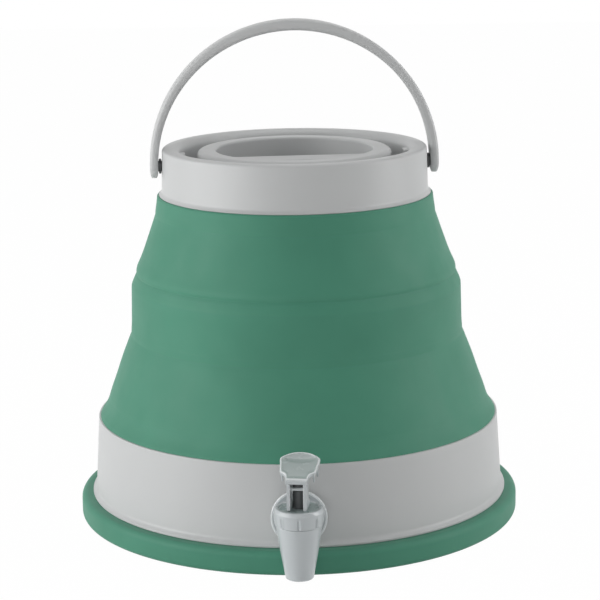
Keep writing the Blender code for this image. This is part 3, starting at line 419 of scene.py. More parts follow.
SHOULDER_RADIUS, TONGUE_BOTTOM, SHOULDER_TOP = ring_size("wall_shoulder")
LOWER_WEB_RADIUS = ring_size("wall_lower_web")[0]
MID_RADIUS, MID_BOTTOM, MID_TOP = ring_size("wall_mid_band")
UPPER_WEB_RADIUS = ring_size("wall_upper_web")[0]
LIP_RADIUS, LIP_BOTTOM, TONGUE_TOP = ring_size("wall_lip")

# The shank's stations are distances in front of the vessel's axis
PAD_FACE = BAND_RADIUS_AT_TAP + PAD_PROUD
PAD_BACK = BAND_RADIUS_AT_TAP - PAN_WALL - PAD_INSIDE
FLANGE_BACK = PAD_FACE + TAP_GASKET_THICKNESS + 2 * FIT
NUT_FACE = PAD_BACK - TAP_GASKET_THICKNESS - 2 * FIT
SHANK_HOLE = SHANK_RADIUS + FIT
SHANK_PLACE = Matrix.Translation((0, 0, TRAY_TOP + TAP_RISE)) @ Matrix.Rotation(math.pi / 2, 4, "X")

# The tap's upright parts stand on an axis of their own
BONNET_BOTTOM, BONNET_TOP = ring_size("tap_bonnet")[1:]
BONNET_INSIDE = BODY_NECK_RADIUS + FIT
BONNET_CEILING = BONNET_TOP - BONNET_CEILING_DROP
STEM_HOLE = STEM_RADIUS + FIT
BAR_HEIGHT = BONNET_TOP + BAR_RISE
TAP_PLACE = Matrix.Translation((0, sum(corner.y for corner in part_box("tap_bonnet")) / 2, 0))
LEVER_PLACE = TAP_PLACE @ Matrix.Rotation(LEVER_TURN, 4, "Z")


def rounded(corners, closed=True):
    """Turn corners, each an x, a z and perhaps a fillet radius, into fine outline points."""
    corners = [(*corner, 0)[:3] for corner in corners]
    points = []
    for index, (x, z, fillet) in enumerate(corners):
        here = Vector((x, z))
        if not closed and index in (0, len(corners) - 1):
            points.append(here)
            continue
        before = Vector(corners[index - 1][:2])
        after = Vector(corners[(index + 1) % len(corners)][:2])
        room = min((before - here).length, (after - here).length) / 2
        to_before = (before - here).normalized()
        to_after = (after - here).normalized()
        half = to_before.angle(to_after) / 2
        reach = min(fillet / math.tan(half), room)
        radius = reach * math.tan(half)
        corner = fillet_points(here, to_before, to_after, reach, radius, half)
        hold = min(HOLD, (room - reach) * HOLD_SHARE)
        if hold > 0:
            corner = [here + to_before * (reach + hold), *corner, here + to_after * (reach + hold)]
        points += corner
    return points


def fillet_points(here, to_before, to_after, reach, radius, half):
    """Return the points of one rounded corner, or the corner itself where it is sharp."""
    if radius < MERGE_DISTANCE:
        return [here]
    centre = here + (to_before + to_after).normalized() * radius / math.sin(half)
    start = here + to_before * reach - centre
    end = here + to_after * reach - centre
    begin = math.atan2(start.y, start.x)
    sweep = math.remainder(math.atan2(end.y, end.x) - begin, math.tau)
    steps = max(2, round(abs(sweep) / FILLET_ANGLE))
    angles = [begin + sweep * step / steps for step in range(steps + 1)]
    return [centre + Vector((math.cos(angle), math.sin(angle))) * radius for angle in angles]


def smoothed(points):
    """Run a smooth curve through points."""
    result = []
    last = len(points) - 1
    for index in range(last):
        p0 = points[max(index - 1, 0)]
        p1 = points[index]
        p2 = points[index + 1]
        p3 = points[min(index + 2, last)]
        for step in range(CURVE_STEPS):
            t = step / CURVE_STEPS
            result.append(
                p1 + (p2 - p0) * t / 2
                + (p0 * 2 - p1 * 5 + p2 * 4 - p3) * t * t / 2
                + (p1 * 3 - p0 - p2 * 3 + p3) * t * t * t / 2
            )
    return result + [points[last]]


def join_rings(shape, lower, upper):
    """Join two rings of points, either of which may be a single point."""
    count = max(len(lower), len(upper))
    for index in range(count):
        after = (index + 1) % count
        corners = [lower[index % len(lower)], lower[after % len(lower)]]
        corners += [upper[after % len(upper)], upper[index % len(upper)]]
        unique = [corner for place, corner in enumerate(corners) if corner not in corners[:place]]
        if len(unique) > 2:
            shape.faces.new(unique)


def skinned(shape, rings):
    """Join rings of points into one skin with closed ends."""
    for lower, upper in zip(rings, rings[1:]):
        join_rings(shape, lower, upper)
    for end in (rings[0], rings[-1]):
        if len(end) > 2:
            shape.faces.new(end)
    return to_mesh(shape)


def lathe(outline, steps=RING_STEPS, closed=True, wave=None):
    """Turn an outline round the upright axis; a wave adds to the radius by angle and height."""
    shape = bmesh.new()
    rings = []
    for radius, height in outline:
        if radius < MERGE_DISTANCE:
            rings.append([shape.verts.new((0, 0, height))])
            continue
        ring = []
        for step in range(steps):
            angle = math.tau * step / steps
            reach = radius + (wave(angle, radius, height) if wave else 0)
            ring.append(shape.verts.new((reach * math.cos(angle), reach * math.sin(angle), height)))
        rings.append(ring)
    if closed:
        rings.append(rings[0])
    for lower, upper in zip(rings, rings[1:]):
        join_rings(shape, lower, upper)
    return to_mesh(shape)


def turned(corners, steps=RING_STEPS):
    """Turn filleted corners round the upright axis; they start on it or make a closed ring."""
    closed = corners[0][0] > 0
    return lathe(rounded(corners, closed), steps, closed)


def to_mesh(shape):
    """Turn a bmesh into a mesh with its faces pointing out."""
    bmesh.ops.recalc_face_normals(shape, faces=shape.faces)
    mesh = bpy.data.meshes.new("shape")
    shape.to_mesh(mesh)
    shape.free()
    return mesh


def box(low, high, edge=0):
    """Make a box between two corners, with its edges rounded."""
    low, high = Vector(low), Vector(high)
    shape = bmesh.new()
    bmesh.ops.create_cube(shape, size=1)
    place = Matrix.Translation((low + high) / 2) @ Matrix.Diagonal((*(high - low), 1))
    bmesh.ops.transform(shape, matrix=place, verts=shape.verts)
    if edge > 0:
        bmesh.ops.bevel(
            shape, geom=shape.edges, offset=edge, segments=BEVEL_STEPS, profile=BEVEL_SHARE, affect="EDGES",
        )
    return to_mesh(shape)


def placed(mesh, place):
    """Move a mesh and return it."""
    mesh.transform(place)
    return mesh


def drum(radius, bottom, top, steps=SMALL_STEPS):
    """Make an upright cylinder between two heights."""
    return turned([(0, bottom), (radius, bottom), (radius, top), (0, top)], steps)


def washer(outer, inner, low, high, edge, steps=RING_STEPS):
    """Make a flat ring with rounded edges."""
    corners = ((outer, high), (outer, low), (inner, low), (inner, high))
    return turned([(*corner, edge) for corner in corners], steps)


def helix(radius, wire, bottom, top, turns, stations):
    """Make a round wire along a helix, with closed ends."""
    shape = bmesh.new()
    up = Vector((0, 0, 1))
    rolls = [math.tau * side / WIRE_SIDES for side in range(WIRE_SIDES)]
    count = round(turns * stations)
    rings = []
    for index in range(count + 1):
        angle = math.tau * turns * index / count
        out = Vector((math.cos(angle), math.sin(angle), 0))
        centre = out * radius + up * (bottom + (top - bottom) * index / count)
        rings.append([
            shape.verts.new(centre + (out * math.cos(roll) + up * math.sin(roll)) * wire) for roll in rolls
        ])
    return skinned(shape, rings)


def sideways(side):
    """Return the turn that lays upright shapes to the left or the right."""
    return Matrix.Rotation(side * math.pi / 2, 4, "Y")


def linked(name, data):
    """Put an object with this data into the scene."""
    thing = bpy.data.objects.new(name, data)
    bpy.context.scene.collection.objects.link(thing)
    return thing


def applied(thing, *helpers):
    """Return a thing's mesh with its modifiers applied, and take away the thing and its helpers."""
    evaluated = thing.evaluated_get(bpy.context.evaluated_depsgraph_get())
    mesh = bpy.data.meshes.new_from_object(evaluated)
    for spent in (thing, *helpers):
        bpy.data.objects.remove(spent, do_unlink=True)
    return mesh


def carved(mesh, *steps):
    """Join meshes to a mesh or cut them from it, in steps of an operation and a mesh."""
    base = linked("base", mesh)
    for operation, tool in steps:
        step = base.modifiers.new("carve", "BOOLEAN")
        step.operation = operation
        step.object = linked("guide", tool)
        step.solver = "EXACT"
    return applied(base, *[step.object for step in base.modifiers])


def softened(mesh):
    """Weld overlapping closed meshes into one, soften its edges and thin out its faces."""
    thing = linked("soften", mesh)
    weld = thing.modifiers.new("weld", "REMESH")
    weld.mode = "VOXEL"
    weld.voxel_size = LEVER_VOXEL
    thing.modifiers.new("smooth", "SMOOTH").iterations = LEVER_SMOOTHING
    thing.modifiers.new("thin", "DECIMATE").ratio = LEVER_KEPT_SHARE
    return applied(thing)


def noise(tree, scale, detail=3, stretch=(1, 1, 1)):
    """Return noise over the surface, stretched along the axes."""
    mapping = tree.nodes.new("ShaderNodeMapping")
    mapping.inputs["Scale"].default_value = stretch
    place = tree.nodes.new("ShaderNodeTexCoord").outputs["Object"]
    tree.links.new(place, mapping.inputs["Vector"])
    texture = tree.nodes.new("ShaderNodeTexNoise")
    texture.inputs["Scale"].default_value = scale
    texture.inputs["Detail"].default_value = detail
    tree.links.new(mapping.outputs["Vector"], texture.inputs["Vector"])
    return texture.outputs["Fac"]


def add_mottling(tree, shader, colours, mottling):
    """Vary a shader's colour softly between two colours."""
    ramp = tree.nodes.new("ShaderNodeValToRGB")
    for stop, share, colour in zip(ramp.color_ramp.elements, MOTTLE_SHARES, colours):
        stop.position = share
        stop.color = (*colour, 1)
    middle = [(low + high) / 2 for low, high in zip(*colours)]
    shader.inputs["Base Color"].default_value = (*middle, 1)
    tree.links.new(noise(tree, *mottling), ramp.inputs["Fac"])
    tree.links.new(ramp.outputs["Color"], shader.inputs["Base Color"])


def add_gloss(tree, shader, low, high, scale):
    """Vary a shader's roughness between two values."""
    spread = tree.nodes.new("ShaderNodeMapRange")
    for name, value in zip(("From Min", "From Max", "To Min", "To Max"), (*GLOSS_SHARES, low, high)):
        spread.inputs[name].default_value = value
    shader.inputs["Roughness"].default_value = (low + high) / 2
    tree.links.new(noise(tree, scale), spread.inputs["Value"])
    tree.links.new(spread.outputs["Result"], shader.inputs["Roughness"])


def add_grain(tree, shader, scale, depth, strength, *details):
    """Add a fine surface grain, on top of any grain added before."""
    bump = tree.nodes.new("ShaderNodeBump")
    bump.inputs["Strength"].default_value = strength
    bump.inputs["Distance"].default_value = depth
    tree.links.new(noise(tree, scale, *details), bump.inputs["Height"])
    for link in shader.inputs["Normal"].links:
        tree.links.new(link.from_socket, bump.inputs["Normal"])
    tree.links.new(bump.outputs["Normal"], shader.inputs["Normal"])


def made_finish(name, colours, mottling, gloss, grains, settings):
    """Make a material with mottled colour, uneven gloss and fine grains."""
    material = bpy.data.materials.new(name)
    material.use_nodes = True
    tree = material.node_tree
    shader = tree.nodes["Principled BSDF"]
    add_mottling(tree, shader, colours, mottling)
    add_gloss(tree, shader, *gloss)
    for grain in grains:
        add_grain(tree, shader, *grain)
    for setting, value in settings.items():
        shader.inputs[setting].default_value = value
    return material


FINISHES = {name: made_finish(name, *values) for name, values in FINISH_VALUES.items()}


def add_piece(name, mesh, slot, *nodes):
    """Show a mesh in its slot's finish, as a piece that stands for CAD nodes."""
    mesh.name = name
    mesh.materials.clear()
    mesh.materials.append(FINISHES[slot])
    mesh.shade_smooth()
    mesh.set_sharp_from_angle(angle=SHARP_ANGLE)
    piece = linked(name, mesh)
    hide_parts(*nodes)
    return piece


def show(name, mesh, slot, body, *nodes):
    """Show a mesh as a piece that rides on a body."""
    piece = add_piece(name, mesh, slot, *nodes)
    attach(piece, body)
    return piece


def tint(piece, finish, chosen):
    """Give a piece's faces a finish of their own where their middles are chosen."""
    piece.data.materials.append(FINISHES[finish])
    for face in piece.data.polygons:
        if chosen(face.center):
            face.material_index = len(piece.data.materials) - 1


def add_tray():
    """Foot tray with its soft rim."""
    seat = SEAT_RADIUS + TRAY_SEAT_GAP
    mesh = turned([
        (0, TRAY_FLOOR), (seat, TRAY_FLOOR), (seat, TRAY_TOP, TRAY_INNER_ROUND),
        (TRAY_RADIUS, TRAY_TOP, TRAY_TOP_ROUND), (TRAY_RADIUS, 0, TRAY_ROUND), (0, 0),
    ])
    show("soft_foot_tray", mesh, "green_rubber", "base", "foot_tray")


def add_pan():
    """Pan with the visible band, the pad round the tap and the tap's hole."""
    floor = PAN_BOTTOM + PAN_FLOOR
    lip_bottom = TRAY_TOP + FIT
    mesh = turned([
        (0, floor), (BAND_FOOT_RADIUS - PAN_WALL, floor, PAN_CORNER),
        (BAND_HEAD_RADIUS - PAN_WALL, BAND_TOP, BAND_INNER_ROUND),
        (BAND_HEAD_RADIUS, BAND_TOP, BAND_ROUND),
        (BAND_FOOT_RADIUS, lip_bottom + FOOT_LIP_HEIGHT, FOOT_LIP_FILLET),
        (PAN_LIP_RADIUS, lip_bottom + FOOT_LIP_HEIGHT * FOOT_LIP_EDGE_SHARE, FOOT_LIP_ROUND),
        (PAN_LIP_RADIUS, lip_bottom), (SEAT_RADIUS, lip_bottom),
        (SEAT_RADIUS, PAN_BOTTOM, PAN_CORNER), (0, PAN_BOTTOM),
    ])
    pad = placed(drum(PAD_RADIUS, PAD_BACK, PAD_FACE), SHANK_PLACE)
    hole = placed(drum(SHANK_HOLE, PAD_BACK - PAN_WALL, PAD_FACE + PAN_WALL), SHANK_PLACE)
    mesh = carved(mesh, ("UNION", pad), ("DIFFERENCE", hole))
    show("moulded_pan", mesh, "grey_plastic", "base", "lower_pan")


def profile(shares, bottom, top, low_radius, high_radius):
    """Return a ring's outer points from its shares, bottom to top."""
    return [
        Vector((high_radius + (low_radius - high_radius) * way, bottom + (top - bottom) * rise))
        for rise, way in shares
    ]


def wall_lines():
    """Return the outer lines of the wall's lower and upper length, and its upper edge."""
    foot = BAND_TOP + FIT / 3
    lower = profile(SHOULDER_SHARES, foot, SHOULDER_TOP, SHOULDER_RADIUS, LOWER_WEB_RADIUS)
    lower += profile(LOWER_WEB_SHARES, SHOULDER_TOP, MID_BOTTOM, LOWER_WEB_RADIUS, MID_RADIUS)
    lower += profile(MID_BAND_LOW_SHARES, MID_BOTTOM, MID_TOP, MID_RADIUS, UPPER_WEB_RADIUS)
    upper = profile(MID_BAND_HIGH_SHARES, MID_BOTTOM, MID_TOP, MID_RADIUS, UPPER_WEB_RADIUS)
    upper += profile(UPPER_WEB_SHARES, MID_TOP, LIP_BOTTOM, UPPER_WEB_RADIUS, LIP_RADIUS)
    step = foot_step()
    upper += profile(LIP_SHARES, LIP_BOTTOM, step[-1].y, LIP_RADIUS, step[-1].x)
    edge = step[-1].y + FOOT_EDGE_RISE
    upper += [point for point in reversed(step) if point.y < edge - FIT]
    return smoothed(lower), smoothed(upper), edge


def inner_line(outer, bottom, top):
    """Return the wall's inner line, top to bottom, between two heights."""
    inside = Vector((WALL, 0))
    return [point - inside for point in reversed(outer) if bottom < point.y <= top]


def add_wall():
    """Folding wall in two lengths that meet in the straight part of the middle band."""
    lower, upper, edge = wall_lines()
    foot = lower[0].y
    tongue = BAND_HEAD_RADIUS - PAN_WALL - FIT
    outline = lower + inner_line(lower, foot + WALL, lower[-1].y) + [
        (tongue - WALL, foot), (tongue - WALL, TONGUE_BOTTOM), (tongue, TONGUE_BOTTOM), (tongue, foot),
    ]
    nodes = ("wall_shoulder", "wall_lower_web", "wall_mid_band")
    piece = add_piece("folding_wall_lower", lathe(outline), "green_rubber", *nodes)
    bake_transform(piece)
    top = COLLAR_BOTTOM - FIT
    rebate = REBATE_RADIUS + FIT
    tongue = SKIRT_RADIUS + FIT
    outline = upper + [
        (upper[-1].x, edge - FIT), (rebate, edge - FIT), (rebate, top),
        (tongue + WALL, top), (tongue + WALL, TONGUE_TOP), (tongue, TONGUE_TOP),
        (tongue, top - WALL), (rebate - WALL / 2, top - WALL),
    ] + inner_line(upper, upper[0].y - HOLD, top - WALL - HOLD)
    piece = add_piece("folding_wall_upper", lathe(outline), "green_rubber", "wall_upper_web", "wall_lip")
    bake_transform(piece)


def foot_step():
    """Return the rounded step at the collar's foot, top to bottom."""
    foot = COLLAR_RADIUS + COLLAR_TAPER
    step = COLLAR_FLARE - COLLAR_TAPER
    return smoothed([
        Vector((foot + step * out, COLLAR_BOTTOM + FOOT_STEP_HEIGHT * (1 - down)))
        for down, out in FOOT_STEP_SHARES
    ])


def add_collar():
    """Collar shell with its broad rim, two lugs and the pins' holes."""
    inside = COLLAR_RADIUS - COLLAR_WALL
    lip = RIM_RADIUS + RIM_LIP_WALL
    floor = COLLAR_TOP - CHANNEL_DEPTH
    edge = COLLAR_BOTTOM + FOOT_EDGE_RISE
    outline = smoothed([
        Vector((RIM_RADIUS + RIM_WIDTH * share, COLLAR_TOP - CROWN_DEPTH * sink))
        for share, sink in CROWN_SHARES
    ])
    step = [point for point in foot_step() if point.y > edge]
    along = (step[0] - outline[-1]).normalized() * HOLD
    outline += [outline[-1] + along, step[0] - along] + step
    outline += [
        (outline[-1].x, edge), (REBATE_RADIUS, edge), (REBATE_RADIUS, COLLAR_BOTTOM),
        (COLLAR_OUTER_RADIUS - COLLAR_WALL, COLLAR_BOTTOM),
        (inside, COLLAR_BOTTOM + COLLAR_FLARE_HEIGHT), (inside, COLLAR_TOP - COLLAR_WALL),
        (lip, COLLAR_TOP - COLLAR_WALL - RIM_DROP), (lip, floor + FIT),
        (RIM_RADIUS, floor + FIT),
    ]
    low = floor + 2 * FIT - BAIL_PLACE.translation.z
    high = PIVOT_DROP - RIM_DROP - LUG_DROP
    steps = []
    for side in (-1, 1):
        ends = sorted((side * (RIM_RADIUS - LUG_REACH), side * (RIM_RADIUS + RIM_LIP_WALL / 2)))
        lug = box((ends[0], -LUG_WIDTH / 2, low), (ends[1], LUG_WIDTH / 2, high), LUG_ROUND)
        hole = drum(PIN_HOLE, inside - PIN_RADIUS, COLLAR_RADIUS + PIN_RADIUS)
        steps.append(("UNION", placed(lug, BAIL_PLACE)))
        steps.append(("DIFFERENCE", placed(hole, BAIL_PLACE @ sideways(side))))
    mesh = carved(lathe(outline), *steps)
    show("moulded_collar", mesh, "grey_plastic", "collar", "collar_shell")


def add_neck():
    """Neck ring with the channel's floor, the threaded neck and the skirt."""
    plate = NECK_FLOOR - NECK_PLATE
    skirt_foot = NECK_FLOOR - NECK_SKIRT
    neck_foot = NECK_FLOOR - NECK_DROP
    mesh = turned([
        (NECK_RADIUS, NECK_TOP, NECK_ROUND), (NECK_RADIUS, NECK_FLOOR, NECK_ROUND),
        (SKIRT_RADIUS, NECK_FLOOR), (SKIRT_RADIUS, skirt_foot, NECK_ROUND),
        (SKIRT_RADIUS - COLLAR_WALL, skirt_foot, NECK_ROUND),
        (SKIRT_RADIUS - COLLAR_WALL, plate), (NECK_RADIUS, plate, NECK_ROUND),
        (NECK_RADIUS, neck_foot, NECK_ROUND),
        (NECK_RADIUS - NECK_WALL, neck_foot, NECK_ROUND),
        (NECK_RADIUS - NECK_WALL, NECK_TOP, NECK_ROUND),
    ])
    rise = THREAD_PITCH * THREAD_TURNS
    low = (NECK_FLOOR + NECK_TOP - rise) / 2
    ridge = helix(NECK_RADIUS, THREAD_RADIUS, low, low + rise, THREAD_TURNS, RING_STEPS / 2)
    show("threaded_neck", carved(mesh, ("UNION", ridge)), "grey_plastic", "collar", "neck_ring")


def add_lid():
    """Lid with its deep well and grip bar, and the seal under it."""
    top = ring_size("lid_shell")[2]
    radius = NECK_RADIUS + LID_OVERHANG
    well = NECK_RADIUS - WELL_INSET
    floor = top - WELL_DEPTH
    foot = NECK_FLOOR + 2 * FIT
    mesh = turned([
        (0, floor), (well, floor, WELL_CORNER), (well, top, WELL_ROUND),
        (radius, top, LID_ROUND), (radius, foot, LID_FOOT_ROUND),
        (radius - LID_WALL, foot, LID_FOOT_ROUND), (radius - LID_WALL, top - LID_PLATE),
        (well + LID_WALL, top - LID_PLATE),
        (well + LID_WALL, floor - LID_WALL, WELL_CORNER), (0, floor - LID_WALL),
    ])
    half = GRIP_WIDTH / 2
    reach = well + LID_WALL / 2
    bar = box((-reach * 2, -half, floor - LID_WALL), (reach * 2, half, top - GRIP_SINK), GRIP_ROUND)
    bar = carved(bar, ("INTERSECT", drum(reach, floor - LID_WALL / 2, top, RING_STEPS)))
    tunnel_reach = math.sqrt(well ** 2 - half ** 2) - LID_WALL
    tunnel = box(
        (-tunnel_reach, LID_WALL - half, floor - LID_WALL * 2),
        (tunnel_reach, half - LID_WALL, top - GRIP_SINK - LID_WALL),
    )
    mesh = carved(mesh, ("UNION", bar), ("DIFFERENCE", tunnel))
    turn = Matrix.Rotation(LID_TURN, 4, "Z")
    show("moulded_lid", placed(mesh, turn), "grey_plastic", "lid", "lid_shell")
    outside = radius - LID_WALL - THREAD_RADIUS
    seal = washer(outside, outside - GASKET_WIDTH, NECK_TOP + FIT, top - LID_PLATE - FIT, GASKET_ROUND)
    show("soft_lid_seal", seal, "seal_rubber", "lid_seal", "lid_gasket")


def strap_section(thickness, half_width, inset):
    """Return a strap section's corners as distances in from its outer face and across it."""
    drawn = max(BAIL_ROUND - inset, MERGE_DISTANCE)
    side = max(half_width - BAIL_ROUND, half_width / 2)
    points = []
    for turn in range(4):
        across = 1 if turn in (0, 1) else -1
        outer = turn in (0, 3)
        for step in range(BAIL_CORNER_STEPS + 1):
            roll = math.pi / 2 * step / BAIL_CORNER_STEPS
            roll = roll if turn in (0, 2) else math.pi / 2 - roll
            depth = drawn * (1 - math.cos(roll))
            y = side + (half_width - side) * math.sin(roll)
            points.append((-inset - depth if outer else inset - thickness + depth, y * across))
    return points


def bail_thickness(angle):
    """Return the strap's thickness, which grows from the pivots to the top."""
    return BAIL_END_THICKNESS + (BAIL_TOP_THICKNESS - BAIL_END_THICKNESS) * math.sin(angle) ** 2


def strap_ring(shape, angle, half_width, drop, inset):
    """Add one section of the strap to a shape."""
    across = Vector((math.cos(angle), 0, math.sin(angle) * BAIL_RISE_SHARE))
    return [
        shape.verts.new(across * (COLLAR_RADIUS + BAIL_REACH + depth) + Vector((0, y, -drop)))
        for depth, y in strap_section(bail_thickness(angle), half_width, inset)
    ]


def add_bail():
    """Strap handle with round ends and sockets for its pins."""
    half_width = BAIL_WIDTH / 2
    ends = []
    for station in range(BAIL_END_STATIONS):
        way = (station + TIP_START_SHARE) / (BAIL_END_STATIONS + TIP_START_SHARE)
        tip = math.pi / 2 * (1 - way)
        inset = BAIL_TIP_ROUND * (1 - math.cos(tip))
        ends.append((half_width * math.cos(tip), half_width * math.sin(tip), inset))
    angles = [math.pi * station / BAIL_STATIONS for station in range(BAIL_STATIONS + 1)]
    sections = [(0, *end) for end in ends]
    sections += [(angle, half_width, 0, 0) for angle in angles]
    sections += [(math.pi, *end) for end in reversed(ends)]
    shape = bmesh.new()
    mesh = skinned(shape, [strap_ring(shape, *section) for section in sections])
    for side in (-1, 1):
        socket = drum(PIN_HOLE, BAIL_INSIDE - PIN_SOCKET_DEPTH, BAIL_INSIDE + PIN_SOCKET_DEPTH)
        mesh = carved(mesh, ("DIFFERENCE", placed(socket, sideways(side))))
    mesh.transform(BAIL_PLACE)
    show("moulded_bail", mesh, "grey_plastic", "bail", "bail_handle")
    for side, word in ((-1, "left"), (1, "right")):
        add_pin(word, side)


def add_pin(word, side):
    """Pivot pin and the clip behind the collar's wall."""
    tip = BAIL_INSIDE + PIN_SOCKET_DEPTH - FIT
    collar_face = COLLAR_RADIUS + COLLAR_TAPER * PIVOT_DROP / (COLLAR_HEIGHT - COLLAR_FLARE_HEIGHT)
    head_outer = BAIL_INSIDE - PIN_HEAD_GAP
    head_inner = collar_face + FIT
    inner_end = SKIRT_RADIUS + PIN_END_GAP
    lay = BAIL_PLACE @ sideways(side)
    pin = turned([
        (0, tip), (PIN_RADIUS, tip, PIN_ROUND), (PIN_RADIUS, head_outer),
        (PIN_HEAD_RADIUS, head_outer, PIN_HEAD_ROUND),
        (PIN_HEAD_RADIUS, head_inner, PIN_HEAD_ROUND), (PIN_RADIUS, head_inner),
        (PIN_RADIUS, inner_end, PIN_ROUND), (0, inner_end),
    ], SMALL_STEPS)
    show("pivot_pin_" + word, placed(pin, lay), "dark_plastic", "collar", "bail_pin_" + word)
    face = COLLAR_RADIUS - COLLAR_WALL - CLIP_FACE_GAP
    clip = washer(CLIP_RADIUS, PIN_HOLE, face - CLIP_THICKNESS, face, CLIP_ROUND, SMALL_STEPS)
    show("push_clip_" + word, placed(clip, lay), "spring_steel", "collar", "pin_clip_" + word)


def add_tap_fixing():
    """Seals on both sides of the pan's wall and the lock nut."""
    for name, node, face in (
        ("soft_outer_seal", "tap_gasket_outer", PAD_FACE + FIT),
        ("soft_inner_seal", "tap_gasket_inner", NUT_FACE + FIT),
    ):
        back = face + TAP_GASKET_THICKNESS
        seal = washer(TAP_GASKET_RADIUS, SHANK_HOLE, face, back, GASKET_ROUND, SMALL_STEPS)
        show(name, placed(seal, SHANK_PLACE), "seal_rubber", "base", node)
    back = NUT_FACE - NUT_THICKNESS
    blank = placed(drum(NUT_RADIUS, back, NUT_FACE, NUT_SIDES), Matrix.Rotation(math.pi / 2, 4, "Z"))
    chamfer = turned([
        (0, NUT_FACE), (NUT_RADIUS - NUT_CHAMFER, NUT_FACE),
        (NUT_RADIUS + MERGE_DISTANCE, NUT_FACE - NUT_CHAMFER / 2),
        (NUT_RADIUS + MERGE_DISTANCE, back + NUT_CHAMFER / 2),
        (NUT_RADIUS - NUT_CHAMFER, back), (0, back),
    ], SMALL_STEPS)
    bore = drum(SHANK_HOLE, back - NUT_CHAMFER, NUT_FACE + NUT_CHAMFER)
    nut = carved(blank, ("INTERSECT", chamfer), ("DIFFERENCE", bore))
    show("chamfered_tap_nut", placed(nut, SHANK_PLACE), "tap_plastic", "base", "tap_nut")


def add_tap_body():
    """Tap body: nozzle and valve chamber, joined to the flange and the shank through the wall."""
    neck_top = BONNET_CEILING - HOLD
    nozzle_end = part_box("tap_body")[0].z
    mesh = turned([
        (BODY_NECK_RADIUS, neck_top, FLANGE_ROUND), (BODY_NECK_RADIUS, CONE_TOP),
        (CONE_TOP_RADIUS, CONE_TOP, CONE_TOP_ROUND),
        (CONE_WAIST_RADIUS, CONE_WAIST, CONE_WAIST_ROUND),
        (NOZZLE_END_RADIUS, nozzle_end, NOZZLE_ROUND),
        (NOZZLE_BORE, nozzle_end, NOZZLE_ROUND), (NOZZLE_BORE, TAP_SEAT),
        (CHAMBER_RADIUS, TAP_SEAT), (CHAMBER_RADIUS, neck_top),
    ], SMALL_STEPS * 2)
    reach = -TAP_PLACE.translation.y
    face = FLANGE_BACK + FLANGE_THICKNESS
    end = NUT_FACE - NUT_THICKNESS - SHANK_END
    rim = FLANGE_RADIUS - FLANGE_RIM
    flange = turned([
        (0, face - FLANGE_SINK), (rim, face - FLANGE_SINK, FLANGE_ROUND / 2),
        (rim, face, FLANGE_ROUND / 2), (FLANGE_RADIUS, face, FLANGE_ROUND),
        (FLANGE_RADIUS, FLANGE_BACK, FLANGE_ROUND), (SHANK_RADIUS, FLANGE_BACK),
        (SHANK_RADIUS, end, SHANK_ROUND), (0, end),
    ], SMALL_STEPS * 2)
    inlet = Matrix.Translation((0, 0, -INLET_DROP)) @ SHANK_PLACE
    link = drum(INLET_OUTER_RADIUS, face - FLANGE_THICKNESS / 2, reach - CHAMBER_RADIUS - HOLD)
    bore = drum(INLET_RADIUS, end - SHANK_END, reach - CHAMBER_RADIUS / 2)
    mesh = carved(
        placed(mesh, TAP_PLACE),
        ("UNION", placed(link, inlet)),
        ("UNION", placed(flange, SHANK_PLACE)),
        ("DIFFERENCE", placed(bore, inlet)),
    )
    piece = show("cloudy_tap_body", mesh, "tap_plastic", "base", "tap_body")
    # Painted light: the flange's raised rim gets the lighter edge finish
    tint(piece, "edge_painted_light", lambda place: (
        place.y > -face - FIT and (place - SHANK_PLACE.translation).xz.length > rim - FIT
    ))


def rib_wave(angle, radius, height):
    """Return what the bonnet's ribs and grooves add to its radius at an angle and a height."""
    if radius < BODY_NECK_RADIUS + BONNET_SIDE or not FIT < height - BONNET_BOTTOM < RIB_HEIGHT:
        return 0
    off = math.remainder(angle + math.pi / 2 - RIB_TURN, math.tau / RIB_COUNT) * radius
    ridge = max(0, 1 - (2 * off / RIB_WIDTH) ** RIB_SHARPNESS)
    groove = max(0, 1 - (2 * (off + GROOVE_OFFSET) / RIB_WIDTH) ** GROOVE_SHARPNESS)
    proud = min(RIB_PROUD * ridge, BONNET_INSIDE + BONNET_SIDE + BONNET_SPREAD - radius)
    return proud - GROOVE_DEPTH * groove


def add_bonnet():
    """Bonnet with grip ribs and a sunk disc round the stem."""
    foot = BONNET_INSIDE + BONNET_SIDE
    radius = foot + BONNET_SPREAD
    outline = rounded([
        (STEM_HOLE, BONNET_TOP - BONNET_DISC_SINK),
        (BONNET_DISC_RADIUS, BONNET_TOP - BONNET_DISC_SINK),
        (BONNET_DISC_RADIUS + BONNET_DISC_SINK, BONNET_TOP, FIT),
        (radius - BONNET_DRAW_IN, BONNET_TOP, BONNET_ROUND),
        (radius, BONNET_TOP - BONNET_RIM_HEIGHT, BONNET_ROUND),
        (foot, BONNET_BOTTOM, BONNET_FOOT_ROUND), (BONNET_INSIDE, BONNET_BOTTOM),
        (BONNET_INSIDE, BONNET_CEILING), (STEM_HOLE, BONNET_CEILING),
    ])
    rises = (RIB_HEIGHT + HOLD, RIB_HEIGHT - FIT, RIB_HEIGHT / 2, FIT * 2)
    side = []
    for here, after in zip(outline, outline[1:] + outline[:1]):
        side.append(here)
        drop = here.y - after.y
        if drop > RIB_HEIGHT / 2 and here.x > BONNET_INSIDE:
            cuts = [BONNET_BOTTOM + rise for rise in rises if after.y < BONNET_BOTTOM + rise < here.y]
            side += [here + (after - here) * ((here.y - cut) / drop) for cut in cuts]
    mesh = placed(lathe(side, RIBBED_STEPS, wave=rib_wave), TAP_PLACE)
    piece = show("cloudy_tap_bonnet", mesh, "tap_plastic", "base", "tap_bonnet")
    # Painted shade: the sunk disc round the stem gets the darker disc finish
    tint(piece, "disc_painted_shade", lambda place: (
        place.z > BONNET_TOP - BONNET_CEILING_DROP / 2
        and (place - TAP_PLACE.translation).to_2d().length < BONNET_DISC_RADIUS
    ))


